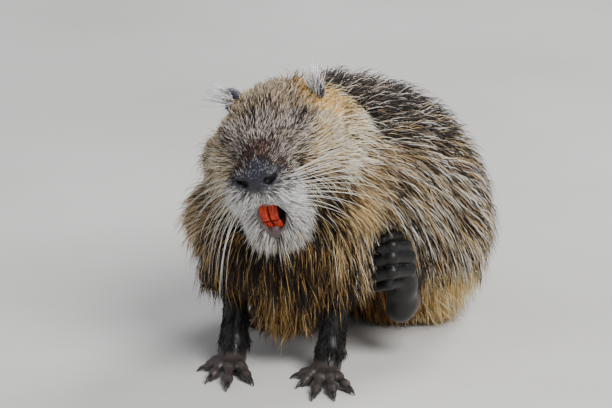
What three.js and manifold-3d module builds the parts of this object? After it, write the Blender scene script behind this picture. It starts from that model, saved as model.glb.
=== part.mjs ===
// A coypu (Myocastor coypus), life size, sitting up on its forefeet and haunches with its left hind
// foot raised beside the flank, as it does when it scratches itself.
//
// The animal faces -Y, its left side is +X and the floor is z = 0. All lengths are millimetres. The
// body is one flesh of blended round cones and ellipsoids, measured to the tips of the coat. It is
// turned into facets once for each part, and each part is then cut out of it by a simple shape.

import * as THREE from "three";
import { mergeVertices } from "three/addons/utils/BufferGeometryUtils.js";
import Module from "manifold-3d";

const wasm = await Module();
wasm.setup();

// ---------------------------------------------------------------- driving dimensions

const GAP = 0.4; // thin cut between neighbouring parts
const FLOOR_CLEARANCE = 0.4; // claws stay this far above the floor
const BODY_FACET = 20;
const LEG_FACET = 13;
const HEAD_FACET = 11.5;
const FOOT_FACET = 10;
const DEG = Math.PI / 180;

const v = (x, y, z) => new THREE.Vector3(x, y, z);

// The midpoint of the forefeet is the origin while modelling. The finished animal is moved so that
// the middle of its footprint is the origin.
const FOOTPRINT_MIDDLE = v(-59.5, 175, 0);

const HEAD = { origin: v(-1, 0, 208), pitch: 7 * DEG, yaw: 15 * DEG, roll: -12 * DEG };
const HEAD_BACK = 20; // cut between head and neck, behind the ears
const NECK_BACK = 52; // cut between neck and trunk, at the nape
const CHIN_BELOW = -75; // cut between chin and chest

const EYE = { at: v(30, -39, 8), radius: 5.6 };
const CLOSED_LIDS = { at: v(29, -34, 12), radii: v(7, 9.5, 6.5), tilt: 0.5 };
const EAR = { at: v(35.5, 4.5, 21), width: 20, height: 24, thick: 8 };
const INCISOR = { width: 7.4, depth: 5 };
const MOUTH = { at: v(2, -80, -48), radii: v(10, 15, 12), tilt: -0.2 };
const FORE_TOE = { root: 5.4, tip: 3.6 };
const HIND_TOE = { root: 5.8, tip: 4.2 };
const CLAW = { root: 2, tip: 0.6 };
const RAISED_CLAW = 10;

// Joints of the posed skeleton.
const JOINT = {
  nape: v(0, 34, 168),
  withers: v(6, 84, 146),
  loin: v(12, 130, 122),
  rump: v(14, 168, 98),
  seat: v(14, 178, 72),
  breast: v(-6, 22, 116),
  shoulderRight: v(-45, 26, 116),
  shoulderLeft: v(14, 29, 116),
  elbowRight: v(-53, 31, 82),
  elbowLeft: v(36, 34, 82),
  wristRight: v(-41, 2, 20),
  wristLeft: v(38, 14, 20),
  hipRight: v(-26, 176, 92),
  kneeRight: v(-56, 112, 66),
  ankleRight: v(-62, 190, 18),
  hipLeft: v(42, 178, 88),
  kneeLeft: v(76, 134, 104),
  ankleLeft: v(75, 78, 48),
};

// ---------------------------------------------------------------- distance functions

// Distance to a bone with flesh of one radius at each end.
function cone(a, b, ra, rb) {
  const ab = b.clone().sub(a);
  const length2 = ab.lengthSq();
  const q = v(0, 0, 0);
  return (p) => {
    q.copy(p).sub(a);
    const t = THREE.MathUtils.clamp(q.dot(ab) / length2, 0, 1);
    q.addScaledVector(ab, -t);
    return q.length() - (ra + (rb - ra) * t);
  };
}

// Distance to an ellipsoid whose axes lie along x, y and z.
function egg(centre, rx, ry, rz) {
  const q = v(0, 0, 0);
  const r = v(rx, ry, rz);
  const r2 = v(rx * rx, ry * ry, rz * rz);
  return (p) => {
    q.copy(p).sub(centre);
    const k0 = v(0, 0, 0).copy(q).divide(r).length();
    const k1 = q.divide(r2).length();
    return k1 < 1e-9 ? -Math.min(rx, ry, rz) : (k0 * (k0 - 1)) / k1;
  };
}

// One surface over several, with fillets of about the size given.
function blend(size, ...shapes) {
  return (p) => {
    let d = shapes[0](p);
    for (let i = 1; i < shapes.length; i += 1) {
      const e = shapes[i](p);
      const h = Math.max(size - Math.abs(d - e), 0) / size;
      d = Math.min(d, e) - h * h * size * 0.25;
    }
    return d;
  };
}

// The shapes given for the left side, with their mirror images.
const mirrored = (shape) => (p) => shape(v(Math.abs(p.x), p.y, p.z));

// ---------------------------------------------------------------- the head's own frame

const headMatrix = new THREE.Matrix4()
  .makeRotationFromEuler(new THREE.Euler(HEAD.pitch, HEAD.roll, HEAD.yaw, "ZXY"))
  .setPosition(HEAD.origin);
const headInverse = headMatrix.clone().invert();
const fromHead = (p) => p.clone().applyMatrix4(headMatrix);

// ---------------------------------------------------------------- flesh

function headShape() {
  const side = blend(
    12,
    egg(v(24, -16, -24), 28, 36, 32), // cheek
    egg(v(13, -75, -25), 16, 17, 17), // whisker pad
    egg(v(25, -38, 8), 9, 12, 9), // brow
    egg(v(13, -60, -55), 15, 17, 16), // bearded chin
  );
  const middle = blend(
    18,
    egg(v(0, 2, -2), 40, 42, 34), // cranium
    cone(v(0, -24, 4), v(0, -76, -12), 25, 18), // bridge of the nose
    cone(v(0, -12, -38), v(0, -66, -60), 28, 14), // lower jaw
    egg(v(0, 14, -26), 57, 34, 40), // ruff behind the jaw
  );
  const face = blend(14, middle, mirrored(side));
  const nose = egg(v(0, -88, -14), 13, 8, 9);
  const local = blend(5, face, nose);
  const q = v(0, 0, 0);
  return (p) => local(q.copy(p).applyMatrix4(headInverse));
}

function trunkShape() {
  return blend(
    26,
    cone(HEAD.origin.clone().add(v(0, 12, -22)), JOINT.nape, 46, 62),
    cone(JOINT.nape, JOINT.withers, 62, 76),
    cone(JOINT.withers, JOINT.loin, 75, 81),
    cone(JOINT.loin, JOINT.rump, 81, 77),
    egg(JOINT.seat, 71, 60, 72),
    egg(v(14, 176, 30), 48, 56, 34), // fur spread on the floor
    cone(JOINT.breast, JOINT.withers, 58, 60),
    egg(v(-4, 26, 64), 42, 34, 36), // hanging chest fur
  );
}

function foreLeg(shoulder, elbow, wrist, fringe) {
  return blend(14, cone(shoulder, elbow, 46, fringe), cone(elbow, wrist, 22, 12));
}

function hindLeg(hip, knee, ankle) {
  return blend(16, cone(hip, knee, 44, 30), cone(knee, ankle, 20, 12));
}

const head = headShape();
const body = blend(
  16,
  trunkShape(),
  foreLeg(JOINT.shoulderRight, JOINT.elbowRight, JOINT.wristRight, 35),
  foreLeg(JOINT.shoulderLeft, JOINT.elbowLeft, JOINT.wristLeft, 24),
  hindLeg(JOINT.hipRight, JOINT.kneeRight, JOINT.ankleRight),
  hindLeg(JOINT.hipLeft, JOINT.kneeLeft, JOINT.ankleLeft),
);
const flesh = blend(14, head, body);

// ---------------------------------------------------------------- facets

// Closed facets over a distance function inside a box, by surface nets: one vertex in each cell that
// the surface crosses, drawn onto the surface, and one quad across each grid edge that it crosses.
function facets(distance, low, high, cell) {
  const size = high.clone().sub(low).divideScalar(cell).ceil().addScalar(1);
  const [nx, ny, nz] = [size.x, size.y, size.z];
  const index = (i, j, k) => i + nx * (j + ny * k);
  const at = (i, j, k) => v(low.x + i * cell, low.y + j * cell, low.z + k * cell);
  const value = new Float32Array(nx * ny * nz);
  for (let k = 0; k < nz; k += 1)
    for (let j = 0; j < ny; j += 1)
      for (let i = 0; i < nx; i += 1) {
        const onRim = !i || !j || !k || i === nx - 1 || j === ny - 1 || k === nz - 1;
        value[index(i, j, k)] = onRim ? cell : distance(at(i, j, k));
      }
  const positions = [];
  const vertexOf = new Map();
  for (let k = 0; k < nz - 1; k += 1)
    for (let j = 0; j < ny - 1; j += 1)
      for (let i = 0; i < nx - 1; i += 1) {
        const vertex = cellVertex(value, index, at, i, j, k);
        if (!vertex) continue;
        drawOnto(vertex, distance, cell);
        vertexOf.set(index(i, j, k), positions.length / 3);
        positions.push(vertex.x, vertex.y, vertex.z);
      }
  const faces = [];
  const steps = [
    [1, 0, 0],
    [0, 1, 0],
    [0, 0, 1],
  ];
  for (let k = 0; k < nz - 1; k += 1)
    for (let j = 0; j < ny - 1; j += 1)
      for (let i = 0; i < nx - 1; i += 1)
        steps.forEach((step, axis) => {
          const inside = value[index(i, j, k)] < 0;
          if (inside === value[index(i + step[0], j + step[1], k + step[2])] < 0) return;
          const s = steps[(axis + 1) % 3];
          const t = steps[(axis + 2) % 3];
          const corner = (a, b) =>
            vertexOf.get(
              index(i - a * s[0] - b * t[0], j - a * s[1] - b * t[1], k - a * s[2] - b * t[2]),
            );
          const quad = [corner(0, 0), corner(1, 0), corner(1, 1), corner(0, 1)];
          if (!inside) quad.reverse();
          faces.push(quad[0], quad[1], quad[2], quad[0], quad[2], quad[3]);
        });
  return new THREE.BufferGeometry()
    .setAttribute("position", new THREE.Float32BufferAttribute(positions, 3))
    .setIndex(faces);
}

// The mean of the points where the surface crosses a cell's edges, or null.
function cellVertex(value, index, at, i, j, k) {
  const sum = v(0, 0, 0);
  let count = 0;
  for (let edge = 0; edge < 12; edge += 1) {
    const axis = edge >> 2;
    const a = [0, 0, 0];
    a[(axis + 1) % 3] = edge & 1;
    a[(axis + 2) % 3] = (edge >> 1) & 1;
    const b = [...a];
    b[axis] = 1;
    const da = value[index(i + a[0], j + a[1], k + a[2])];
    const db = value[index(i + b[0], j + b[1], k + b[2])];
    if (da < 0 === db < 0) continue;
    const from = at(i + a[0], j + a[1], k + a[2]);
    sum.add(from.lerp(at(i + b[0], j + b[1], k + b[2]), da / (da - db)));
    count += 1;
  }
  return count ? sum.divideScalar(count) : null;
}

// Moves a point onto the surface by Newton steps, but no further than a third of a cell.
function drawOnto(point, distance, cell) {
  const start = point.clone();
  const e = 0.05 * cell;
  for (let step = 0; step < 3; step += 1) {
    const d = distance(point);
    const slope = v(
      distance(point.clone().add(v(e, 0, 0))) - d,
      distance(point.clone().add(v(0, e, 0))) - d,
      distance(point.clone().add(v(0, 0, e))) - d,
    ).divideScalar(e);
    point.addScaledVector(slope, -d / Math.max(slope.lengthSq(), 0.25));
  }
  if (point.distanceTo(start) > cell / 3)
    point.sub(start).setLength(cell / 3).add(start);
}

// A closed round bar along a smooth curve through the points. Its radius follows the curve, and its
// section is squeezed to the share `flat` across the curve's own upward side.
function bar(points, radii, sides, steps, flat = 1) {
  const curve = new THREE.CatmullRomCurve3(points);
  const up = v(0, 0, 1);
  const positions = [];
  const faces = [];
  const radiusAt = (t) => {
    const x = t * (radii.length - 1);
    const i = Math.min(Math.floor(x), radii.length - 2);
    return THREE.MathUtils.lerp(radii[i], radii[i + 1], x - i);
  };
  const start = curve.getPoint(0);
  positions.push(start.x, start.y, start.z);
  for (let step = 0; step <= steps; step += 1) {
    const t = step / steps;
    const along = curve.getTangentAt(t);
    const across = up.clone().cross(along);
    if (across.lengthSq() < 0.05) across.set(1, 0, 0).projectOnPlane(along);
    across.normalize();
    const rise = along.clone().cross(across);
    const centre = curve.getPointAt(t);
    for (let side = 0; side < sides; side += 1) {
      const angle = (2 * Math.PI * side) / sides;
      const r = radiusAt(t);
      const p = centre
        .clone()
        .addScaledVector(across, r * Math.cos(angle))
        .addScaledVector(rise, r * flat * Math.sin(angle));
      positions.push(p.x, p.y, p.z);
    }
  }
  const last = curve.getPoint(1);
  const lastIndex = positions.length / 3;
  positions.push(last.x, last.y, last.z);
  const ring = (step, side) => 1 + step * sides + (side % sides);
  for (let side = 0; side < sides; side += 1) {
    faces.push(0, ring(0, side + 1), ring(0, side));
    faces.push(lastIndex, ring(steps, side), ring(steps, side + 1));
    for (let step = 0; step < steps; step += 1) {
      faces.push(ring(step, side), ring(step, side + 1), ring(step + 1, side + 1));
      faces.push(ring(step, side), ring(step + 1, side + 1), ring(step + 1, side));
    }
  }
  return new THREE.BufferGeometry()
    .setAttribute("position", new THREE.Float32BufferAttribute(positions, 3))
    .setIndex(faces);
}

// Radii of a bar that swells from a round start and closes in a round tip.
const fingerRadii = (root, tip) => [root * 0.7, root, root * 0.96, (root + tip) / 2, tip, tip * 0.85];

// ---------------------------------------------------------------- solids

function solid(geometry) {
  const bare = geometry.index ? geometry.toNonIndexed() : geometry.clone();
  const merged = mergeVertices(
    new THREE.BufferGeometry().setAttribute("position", bare.getAttribute("position")),
    1e-4,
  );
  return new wasm.Manifold(
    new wasm.Mesh({
      numProp: 3,
      vertProperties: new Float32Array(merged.attributes.position.array),
      triVerts: new Uint32Array(merged.index.array),
    }),
  );
}

function geometryOf(made) {
  const mesh = made.getMesh();
  return new THREE.BufferGeometry()
    .setAttribute("position", new THREE.Float32BufferAttribute(mesh.vertProperties, 3))
    .setIndex([...mesh.triVerts]);
}

// A ball squeezed to the radii given, turned by the matrix.
function ball(radii, matrix, grow = 0, detail = 16) {
  const geometry = new THREE.SphereGeometry(1, detail, Math.round(detail * 0.6));
  geometry.scale(radii.x + grow, radii.y + grow, radii.z + grow);
  return solid(geometry.applyMatrix4(matrix));
}

// A box between two corners, in the frame of the matrix.
function block(low, high, matrix = new THREE.Matrix4(), grow = 0) {
  const size = high.clone().sub(low).addScalar(2 * grow);
  const middle = low.clone().add(high).multiplyScalar(0.5);
  const geometry = new THREE.BoxGeometry(size.x, size.y, size.z);
  geometry.translate(middle.x, middle.y, middle.z);
  return solid(geometry.applyMatrix4(matrix));
}

const moved = (p) => new THREE.Matrix4().setPosition(p);
const joined = (parts) => parts.reduce((whole, part) => whole.add(part));
const aboveFloor = (made, height = 0) => made.trimByPlane([0, 0, 1], height);

// The largest single body of a solid, so that no sliver is left beside it.
function largest(made) {
  return made.decompose().reduce((best, part) => (part.volume() > best.volume() ? part : best));
}

// ---------------------------------------------------------------- where the parts are cut

// Each region is a function of how much it grows, so that a neighbour can keep the gap.
const region = {
  head: (grow) => block(v(-95, -125, CHIN_BELOW), v(95, HEAD_BACK, 90), headMatrix, grow),
  neck: (grow) => block(v(-110, HEAD_BACK, -52), v(110, NECK_BACK, 110), headMatrix, grow - GAP),
  foreLegRight: (grow) => block(v(-75, -30, -5), v(-14, 60, 66), undefined, grow),
  foreLegLeft: (grow) => block(v(12, -20, -5), v(66, 72, 66), undefined, grow),
  hindLegRight: (grow) =>
    joined([
      ball(v(34, 58, 54), moved(v(-66, 148, 80)), grow, 12),
      block(v(-100, 72, -5), v(-42, 205, 42), undefined, grow),
    ]),
  hindLegLeft: (grow) =>
    joined([
      ball(v(36, 58, 54), moved(v(84, 148, 88)), grow, 12),
      block(v(58, 62, 20), v(110, 122, 70), undefined, grow),
    ]),
};

// What is left of the flesh inside a region, above the floor and clear of other solids.
function cutPart(whole, inside, ...others) {
  const kept = inside ? whole.intersect(inside) : whole;
  return largest(aboveFloor(others.reduce((rest, other) => rest.subtract(other), kept)));
}

// ---------------------------------------------------------------- feet

// Everything above the ankle of a standing leg is leg and everything below it is foot. Each space
// is the room that a foot needs in its neighbours.
const FOOT_TOP = 19;
const FOOT_SPACE = {
  front_right: [v(-90, -70, -5), v(-14, 14, FOOT_TOP)],
  front_left: [v(12, -60, -5), v(92, 26, FOOT_TOP)],
  hind_right: [v(-100, 64, -5), v(-34, 212, FOOT_TOP)],
};

const towards = (heading) => v(Math.sin(heading), -Math.cos(heading), 0);

// One toe that stands on the floor: from its knuckle along a heading, over its arch to the tip.
function toePath(knuckle, heading, length, lift, size) {
  const at = (share, z) =>
    knuckle.clone().addScaledVector(towards(heading), length * share).setZ(z);
  return [
    knuckle.clone(),
    at(0.4, knuckle.z + lift),
    at(0.75, size.root * 0.95),
    at(1, size.tip * 0.85),
  ];
}

// A claw beyond the end of a toe, bent down to just above the floor.
function clawPath(toe, length) {
  const tip = toe[toe.length - 1];
  const ahead = tip.clone().sub(toe[toe.length - 2]).setZ(0).normalize();
  const at = (share, z) => tip.clone().addScaledVector(ahead, length * share).setZ(z);
  return [at(-0.25, tip.z + 0.6), at(0.5, tip.z + 0.9), at(1, 2 * FLOOR_CLEARANCE + CLAW.tip)];
}

// Toes as [name, heading in degrees from -Y towards +X, length, height of the arch].
const FEET = {
  front_right: {
    palm: v(-39, -8, 8),
    ankle: JOINT.wristRight,
    ankleRadius: 12,
    pad: v(13, 15, 10),
    reach: 7,
    size: FORE_TOE,
    claw: 9,
    toes: [
      ["1", 62, 13, 0],
      ["2", 50, 32, 3],
      ["3", 24, 42, 4],
      ["4", 0, 28, 3],
      ["5", -47, 13, 2],
    ],
  },
  front_left: {
    palm: v(38, 5, 8),
    ankle: JOINT.wristLeft,
    ankleRadius: 12,
    pad: v(13, 15, 10),
    reach: 7,
    size: FORE_TOE,
    claw: 9,
    toes: [
      ["1", -60, 13, 0],
      ["2", -15, 20, 3],
      ["3", 16, 42, 4],
      ["4", 34, 42, 4],
      ["5", 55, 33, 2],
    ],
  },
  hind_right: {
    palm: v(-58, 142, 8),
    ankle: JOINT.ankleRight,
    ankleRadius: 13,
    pad: v(17, 24, 10),
    reach: 12,
    size: HIND_TOE,
    claw: 12,
    toes: [
      ["1", 34, 36, 2],
      ["2", 16, 42, 3],
      ["3", 1, 44, 3],
      ["4", -14, 42, 3],
      ["5", -34, 34, 2],
    ],
  },
};

function standingFoot(foot) {
  const pad = blend(
    7,
    egg(foot.palm, foot.pad.x, foot.pad.y, foot.pad.z),
    cone(foot.ankle, foot.palm, foot.ankleRadius, foot.pad.z),
  );
  const low = foot.palm.clone().min(foot.ankle).sub(v(34, 34, 24));
  const high = foot.palm.clone().max(foot.ankle).add(v(34, 34, 24));
  const toes = foot.toes.map(([name, angle, length, lift]) => {
    const heading = angle * DEG;
    const knuckle = foot.palm.clone().addScaledVector(towards(heading), foot.reach);
    const path = toePath(knuckle, heading, length, lift, foot.size);
    return { name, path, claw: clawPath(path, foot.claw) };
  });
  return {
    flesh: joined([
      solid(facets(pad, low, high, FOOT_FACET)),
      ...toes.map((toe) => toeSolid(toe.path, foot.size)),
    ]),
    toes,
  };
}

const toeSolid = (path, size, grow = 0) =>
  solid(bar(path, fingerRadii(size.root + grow, size.tip + grow), 6, 3));

// The raised hind foot stands on nothing. Its heel hangs low, its sole faces the chest and its toes
// are bent like a fist, one above another.
const RAISED_FOOT = {
  heel: v(71, 71, 44),
  instep: v(74, 67, 65),
  ball: v(78, 63, 87),
  toes: [
    ["1", v(80, 62, 70), v(73, 47, 72), v(62, 48, 67)],
    ["2", v(84, 60, 81), v(77, 44, 83), v(66, 41, 79)],
    ["3", v(84, 59, 92), v(77, 43, 95), v(67, 40, 91)],
    ["4", v(81, 58, 101), v(77, 44, 104), v(68, 40, 101)],
    ["5", v(75, 58, 108), v(73, 48, 110), v(69, 44, 108)],
  ],
};

function raisedFoot(grow = 0) {
  const sole = blend(
    10,
    cone(RAISED_FOOT.heel, RAISED_FOOT.instep, 12 + grow, 13 + grow),
    cone(RAISED_FOOT.instep, RAISED_FOOT.ball, 13 + grow, 11 + grow),
  );
  const toes = RAISED_FOOT.toes.map(([name, knuckle, bow, tip]) => {
    const path = [knuckle, bow, tip];
    const ahead = tip.clone().sub(bow).normalize();
    const down = v(0, 0, -1);
    const claw = [-0.25, 0.5, 1].map((share) =>
      tip.clone().addScaledVector(ahead, RAISED_CLAW * share).addScaledVector(down, 4 * share * share),
    );
    return { name, path, claw };
  });
  const low = v(40, 30, 16);
  const high = v(112, 108, 124);
  return {
    flesh: joined([
      solid(facets(sole, low, high, FOOT_FACET)),
      ...toes.map((toe) => toeSolid(toe.path, HIND_TOE, grow)),
    ]),
    toes,
  };
}

// ---------------------------------------------------------------- eyes, ears, mouth and tail

// A shape made for the head's left side, in the head's own frame, set on the side given.
const onHead = (side) => headMatrix.clone().multiply(new THREE.Matrix4().makeScale(side, 1, 1));
const rightSide = -1;
const leftSide = 1;

function ballOnHead(side, centre, radii, turn = new THREE.Euler(), grow = 0, detail = 8) {
  const geometry = new THREE.SphereGeometry(1, detail, Math.round(detail * 0.7));
  geometry.scale(radii.x + grow, radii.y + grow, radii.z + grow);
  geometry.applyMatrix4(new THREE.Matrix4().makeRotationFromEuler(turn).setPosition(centre));
  const made = solid(geometry);
  return made.transform(onHead(side).elements);
}

const EAR_TURN = new THREE.Euler(0.15, 0.35, -0.5);

// The outer shape of an ear, and the room that it needs in the head.
const earRoom = (side, grow = GAP) =>
  ballOnHead(side, EAR.at, v(EAR.width / 2, EAR.thick / 2, EAR.height / 2), EAR_TURN, grow);

// A round, cupped ear.
function ear(side) {
  const shell = earRoom(side, 0);
  const cup = ballOnHead(
    side, EAR.at.clone().add(v(1, -5.5, 1)), v(EAR.width * 0.36, 5, EAR.height * 0.36), EAR_TURN,
  );
  return largest(shell.subtract(cup));
}

const eye = (side, grow = 0) =>
  ballOnHead(side, EYE.at, v(EYE.radius, EYE.radius, EYE.radius), undefined, grow);

// The left eye is screwed shut: one swelling of closed lids fills its place.
const closedLids = (grow = 0) =>
  ballOnHead(
    leftSide, CLOSED_LIDS.at, CLOSED_LIDS.radii, new THREE.Euler(CLOSED_LIDS.tilt, 0, 0), grow,
  );

// A curved front tooth in the head's frame: out of the jaw, then down or up to a chisel edge.
function incisor(side, upper, grow = 0) {
  const x = side * (INCISOR.width / 2 + GAP / 2);
  const path = upper
    ? [v(x, -70, -27), v(x, -79, -36), v(x, -82, -50)]
    : [v(x, -62, -62), v(x, -71, -59), v(x, -79, -52.5)];
  const half = INCISOR.width / 2 + grow;
  const flat = (INCISOR.depth / 2 + grow) / half;
  return solid(bar(path, [half, half, half * 0.96], 6, 3, flat).applyMatrix4(headMatrix));
}

// The open mouth, between the parted lips.
const mouth = () =>
  ballOnHead(leftSide, MOUTH.at, MOUTH.radii, new THREE.Euler(MOUTH.tilt, 0, 0));

// The tail lies on the floor and curves to the animal's right, as [radius, place].
const TAIL = [
  [21, v(8, 218, 42)],
  [19, v(2, 246, 24)],
  [17, v(-14, 276, 17)],
  [14, v(-48, 328, 14)],
  [12, v(-100, 378, 12)],
  [9, v(-160, 416, 9)],
  [5, v(-224, 436, 6)],
];

function tail(grow = 0) {
  const places = TAIL.map(([, place]) => place);
  const radii = TAIL.map(([radius]) => radius + grow);
  return solid(bar(places, radii, 10, 10));
}

// ---------------------------------------------------------------- materials and assembly

const finish = (color, roughness) => new THREE.MeshStandardMaterial({ color, roughness, metalness: 0 });
const COAT = finish("#6d5a45", 0.9);
const PALE_COAT = finish("#8a765c", 0.9);
const BARE_SKIN = finish("#2c2728", 0.55);
const SCALY_SKIN = finish("#3a3230", 0.7);
const EAR_SKIN = finish("#4a4346", 0.8);
const CORNEA = finish("#0c0806", 0.1);
const ENAMEL = finish("#c2410c", 0.35);
const HORN = finish("#241e1c", 0.4);

const group = new THREE.Group();
group.position.copy(FOOTPRINT_MIDDLE).negate();

function place(name, made, material) {
  const mesh = new THREE.Mesh(geometryOf(made), material);
  mesh.name = name;
  group.add(mesh);
}

const feet = Object.fromEntries(
  Object.entries(FEET).map(([name, foot]) => [name, standingFoot(foot)]),
);
feet.hind_left = raisedFoot();

const clawSolid = (path, grow = 0) =>
  solid(bar(path, [CLAW.root + grow, CLAW.root * 0.75 + grow, CLAW.tip + grow], 3, 2));

// Feet and their claws. Each claw sits in a socket of its toe.
for (const [name, foot] of Object.entries(feet)) {
  const stands = name in FOOT_SPACE;
  const whole = stands ? foot.flesh.trimByPlane([0, 0, -1], -FOOT_TOP) : foot.flesh;
  const sockets = foot.toes.map((toe) => clawSolid(toe.claw, GAP));
  place(`foot_${name}`, cutPart(whole, null, ...sockets), BARE_SKIN);
  for (const toe of foot.toes)
    place(`claw_${name}_${toe.name}`, aboveFloor(clawSolid(toe.claw), FLOOR_CLEARANCE), HORN);
}

// The room that the feet and the tail need in their neighbours.
const footRoom = [
  ...Object.values(FOOT_SPACE).map(([low, high]) => block(low, high, undefined, GAP)),
  raisedFoot(3 * GAP).flesh,
  ...feet.hind_left.toes.map((toe) => clawSolid(toe.claw, GAP)),
];

const bodyFacets = solid(facets(flesh, v(-125, -60, -14), v(135, 282, 266), BODY_FACET));
place(
  "trunk",
  cutPart(
    bodyFacets, null, ...Object.values(region).map((space) => space(GAP)), ...footRoom, tail(GAP),
  ),
  COAT,
);
place("neck", cutPart(bodyFacets, region.neck(0)), COAT);
const legFacets = solid(facets(flesh, v(-115, -50, -12), v(136, 222, 162), LEG_FACET));
place("leg_front_right", cutPart(legFacets, region.foreLegRight(0), ...footRoom), COAT);
place("leg_front_left", cutPart(legFacets, region.foreLegLeft(0), ...footRoom), COAT);
place("leg_hind_right", cutPart(legFacets, region.hindLegRight(0), ...footRoom), COAT);
place("leg_hind_left", cutPart(legFacets, region.hindLegLeft(0), ...footRoom), COAT);

const sides = { right: rightSide, left: leftSide };
const teethRoom = Object.values(sides).flatMap((side) => [
  incisor(side, true, GAP),
  incisor(side, false, GAP),
]);
const headFacets = solid(facets(flesh, v(-105, -130, 105), v(105, 62, 268), HEAD_FACET));
place(
  "head",
  cutPart(
    headFacets, region.head(0), mouth(), eye(rightSide, GAP), closedLids(GAP),
    earRoom(rightSide), earRoom(leftSide), ...teethRoom,
  ),
  PALE_COAT,
);
place("ear_right", ear(rightSide), EAR_SKIN);
place("ear_left", ear(leftSide), EAR_SKIN);
place("eye_right", eye(rightSide), CORNEA);
place("eyelids_left", closedLids(), BARE_SKIN);
for (const [name, side] of Object.entries(sides)) {
  place(`incisor_upper_${name}`, incisor(side, true), ENAMEL);
  place(`incisor_lower_${name}`, incisor(side, false), ENAMEL);
}
place("tail", aboveFloor(tail()), SCALY_SKIN);

export default group;
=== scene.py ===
"""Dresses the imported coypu: one skin, a coat of solid tufts, whiskers, an eye, teeth and claws.

The animal is modelled in millimetres about the middle of its forefeet, with its left side at +X, its
back at +Y and the floor at z = 0. Every mesh is moved into the row frame, in metres, as it is made.
Shapes are distance functions: they are negative inside, and they give distances in millimetres.
"""

import logging
import math
from dataclasses import dataclass, field
from enum import Enum
from itertools import product
from typing import Protocol, Sequence

import bmesh
import bpy
import numpy as np
from mathutils import Euler, Matrix, Vector, kdtree


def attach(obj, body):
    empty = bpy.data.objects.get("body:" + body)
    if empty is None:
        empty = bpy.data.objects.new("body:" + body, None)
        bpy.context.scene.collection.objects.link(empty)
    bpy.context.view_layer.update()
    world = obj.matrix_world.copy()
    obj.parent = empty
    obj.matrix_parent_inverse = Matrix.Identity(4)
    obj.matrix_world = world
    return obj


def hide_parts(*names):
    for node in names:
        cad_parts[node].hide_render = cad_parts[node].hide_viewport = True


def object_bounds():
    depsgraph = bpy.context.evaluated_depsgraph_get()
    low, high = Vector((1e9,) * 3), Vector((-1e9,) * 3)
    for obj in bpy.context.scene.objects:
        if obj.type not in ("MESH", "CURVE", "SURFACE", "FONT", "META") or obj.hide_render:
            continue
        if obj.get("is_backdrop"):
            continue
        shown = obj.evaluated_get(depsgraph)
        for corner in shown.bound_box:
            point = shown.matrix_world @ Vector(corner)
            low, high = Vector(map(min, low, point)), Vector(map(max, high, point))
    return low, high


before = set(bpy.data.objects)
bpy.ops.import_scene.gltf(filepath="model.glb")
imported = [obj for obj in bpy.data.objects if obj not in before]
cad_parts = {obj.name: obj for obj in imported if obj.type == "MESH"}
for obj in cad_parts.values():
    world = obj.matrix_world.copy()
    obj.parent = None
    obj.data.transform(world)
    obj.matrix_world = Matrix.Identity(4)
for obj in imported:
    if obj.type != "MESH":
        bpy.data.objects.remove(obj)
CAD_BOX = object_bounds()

LOG = logging.getLogger("coypu")
BODY = "root"
FOREFEET_IN_ROW = np.array([59.5, -175.0, 0.0])
METRES = 0.001
SEED = 41
UP = (0.0, 0.0, 1.0)

# A distance that stands for nowhere near, and two small numbers that keep sums off zero.
FAR = 99.0
TINY = 1e-9
NUDGE = 1e-6

Place = tuple[float, float, float]
Spot = tuple[float, float, float, float]
Rows = np.ndarray
Dice = np.random.Generator
Piece = bpy.types.Object
Tree = bpy.types.NodeTree
Node = bpy.types.Node
Socket = bpy.types.NodeSocket


class Shape(Protocol):
    """Anything that has a distance function."""

    def distance(self, points: Rows) -> Rows:
        """Gives the signed distance from each point.

        Args:
            points: Places in millimetres, one row each.

        Returns:
            One distance for each point.
        """


# ---- small maths


def unit(rows: Rows) -> Rows:
    """Scales vectors to length one."""
    return rows / np.maximum(np.linalg.norm(rows, axis=-1, keepdims=True), TINY)


def blend(first: Rows, second: Rows, share: Rows) -> Rows:
    """Mixes two lists of rows, each row by its own share of the second list."""
    return first * (1.0 - share)[:, None] + second * share[:, None]


def smooth_min(a: Rows, b: Rows, size: float) -> Rows:
    """Joins two distances with a fillet."""
    share = np.maximum(size - np.abs(a - b), 0.0) / size
    return np.minimum(a, b) - share * share * size * 0.25


def smooth_step(values: Rows, low: float, high: float) -> Rows:
    """Rises smoothly from 0 at low to 1 at high."""
    t = np.clip((values - low) / (high - low), 0.0, 1.0)
    return t * t * (3.0 - 2.0 * t)


def wave_noise(points: Rows, wavelength: float, seed: int) -> Rows:
    """Sums a few slanted sine waves into a smooth wander.

    Args:
        points: Places in millimetres.
        wavelength: The length of the longest wave in millimetres.
        seed: Picks the waves' directions.

    Returns:
        Values of about -1 to 1.
    """
    rng = np.random.default_rng(seed)
    total = np.zeros(len(points))
    for octave in range(4):
        heading = unit(rng.normal(size=(1, 3)))[0]
        rate = 2.0 * math.pi / wavelength * (1.0 + 0.7 * octave)
        total += np.sin(points @ heading * rate + rng.uniform(0.0, 6.28)) / (1.0 + 0.4 * octave)
    return total / 2.2


def wander(points: Rows, wavelength: float, *seeds: int) -> Rows:
    """Gives a smooth wander with one column for each seed."""
    return np.stack([wave_noise(points, wavelength, seed) for seed in seeds], axis=1)


# ---- shapes


@dataclass(frozen=True)
class Cone:
    """A bone with flesh of one radius at each end."""

    start: Place
    end: Place
    start_radius: float
    end_radius: float

    def distance(self, points: Rows) -> Rows:
        """Gives the signed distance from each point.

        Args:
            points: Places in millimetres.

        Returns:
            One distance for each point.
        """
        a = np.array(self.start, dtype=float)
        along = np.array(self.end) - a
        share = np.clip((points - a) @ along / (along @ along), 0.0, 1.0)
        away = np.linalg.norm(points - a - share[:, None] * along, axis=1)
        return away - (self.start_radius + (self.end_radius - self.start_radius) * share)


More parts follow.
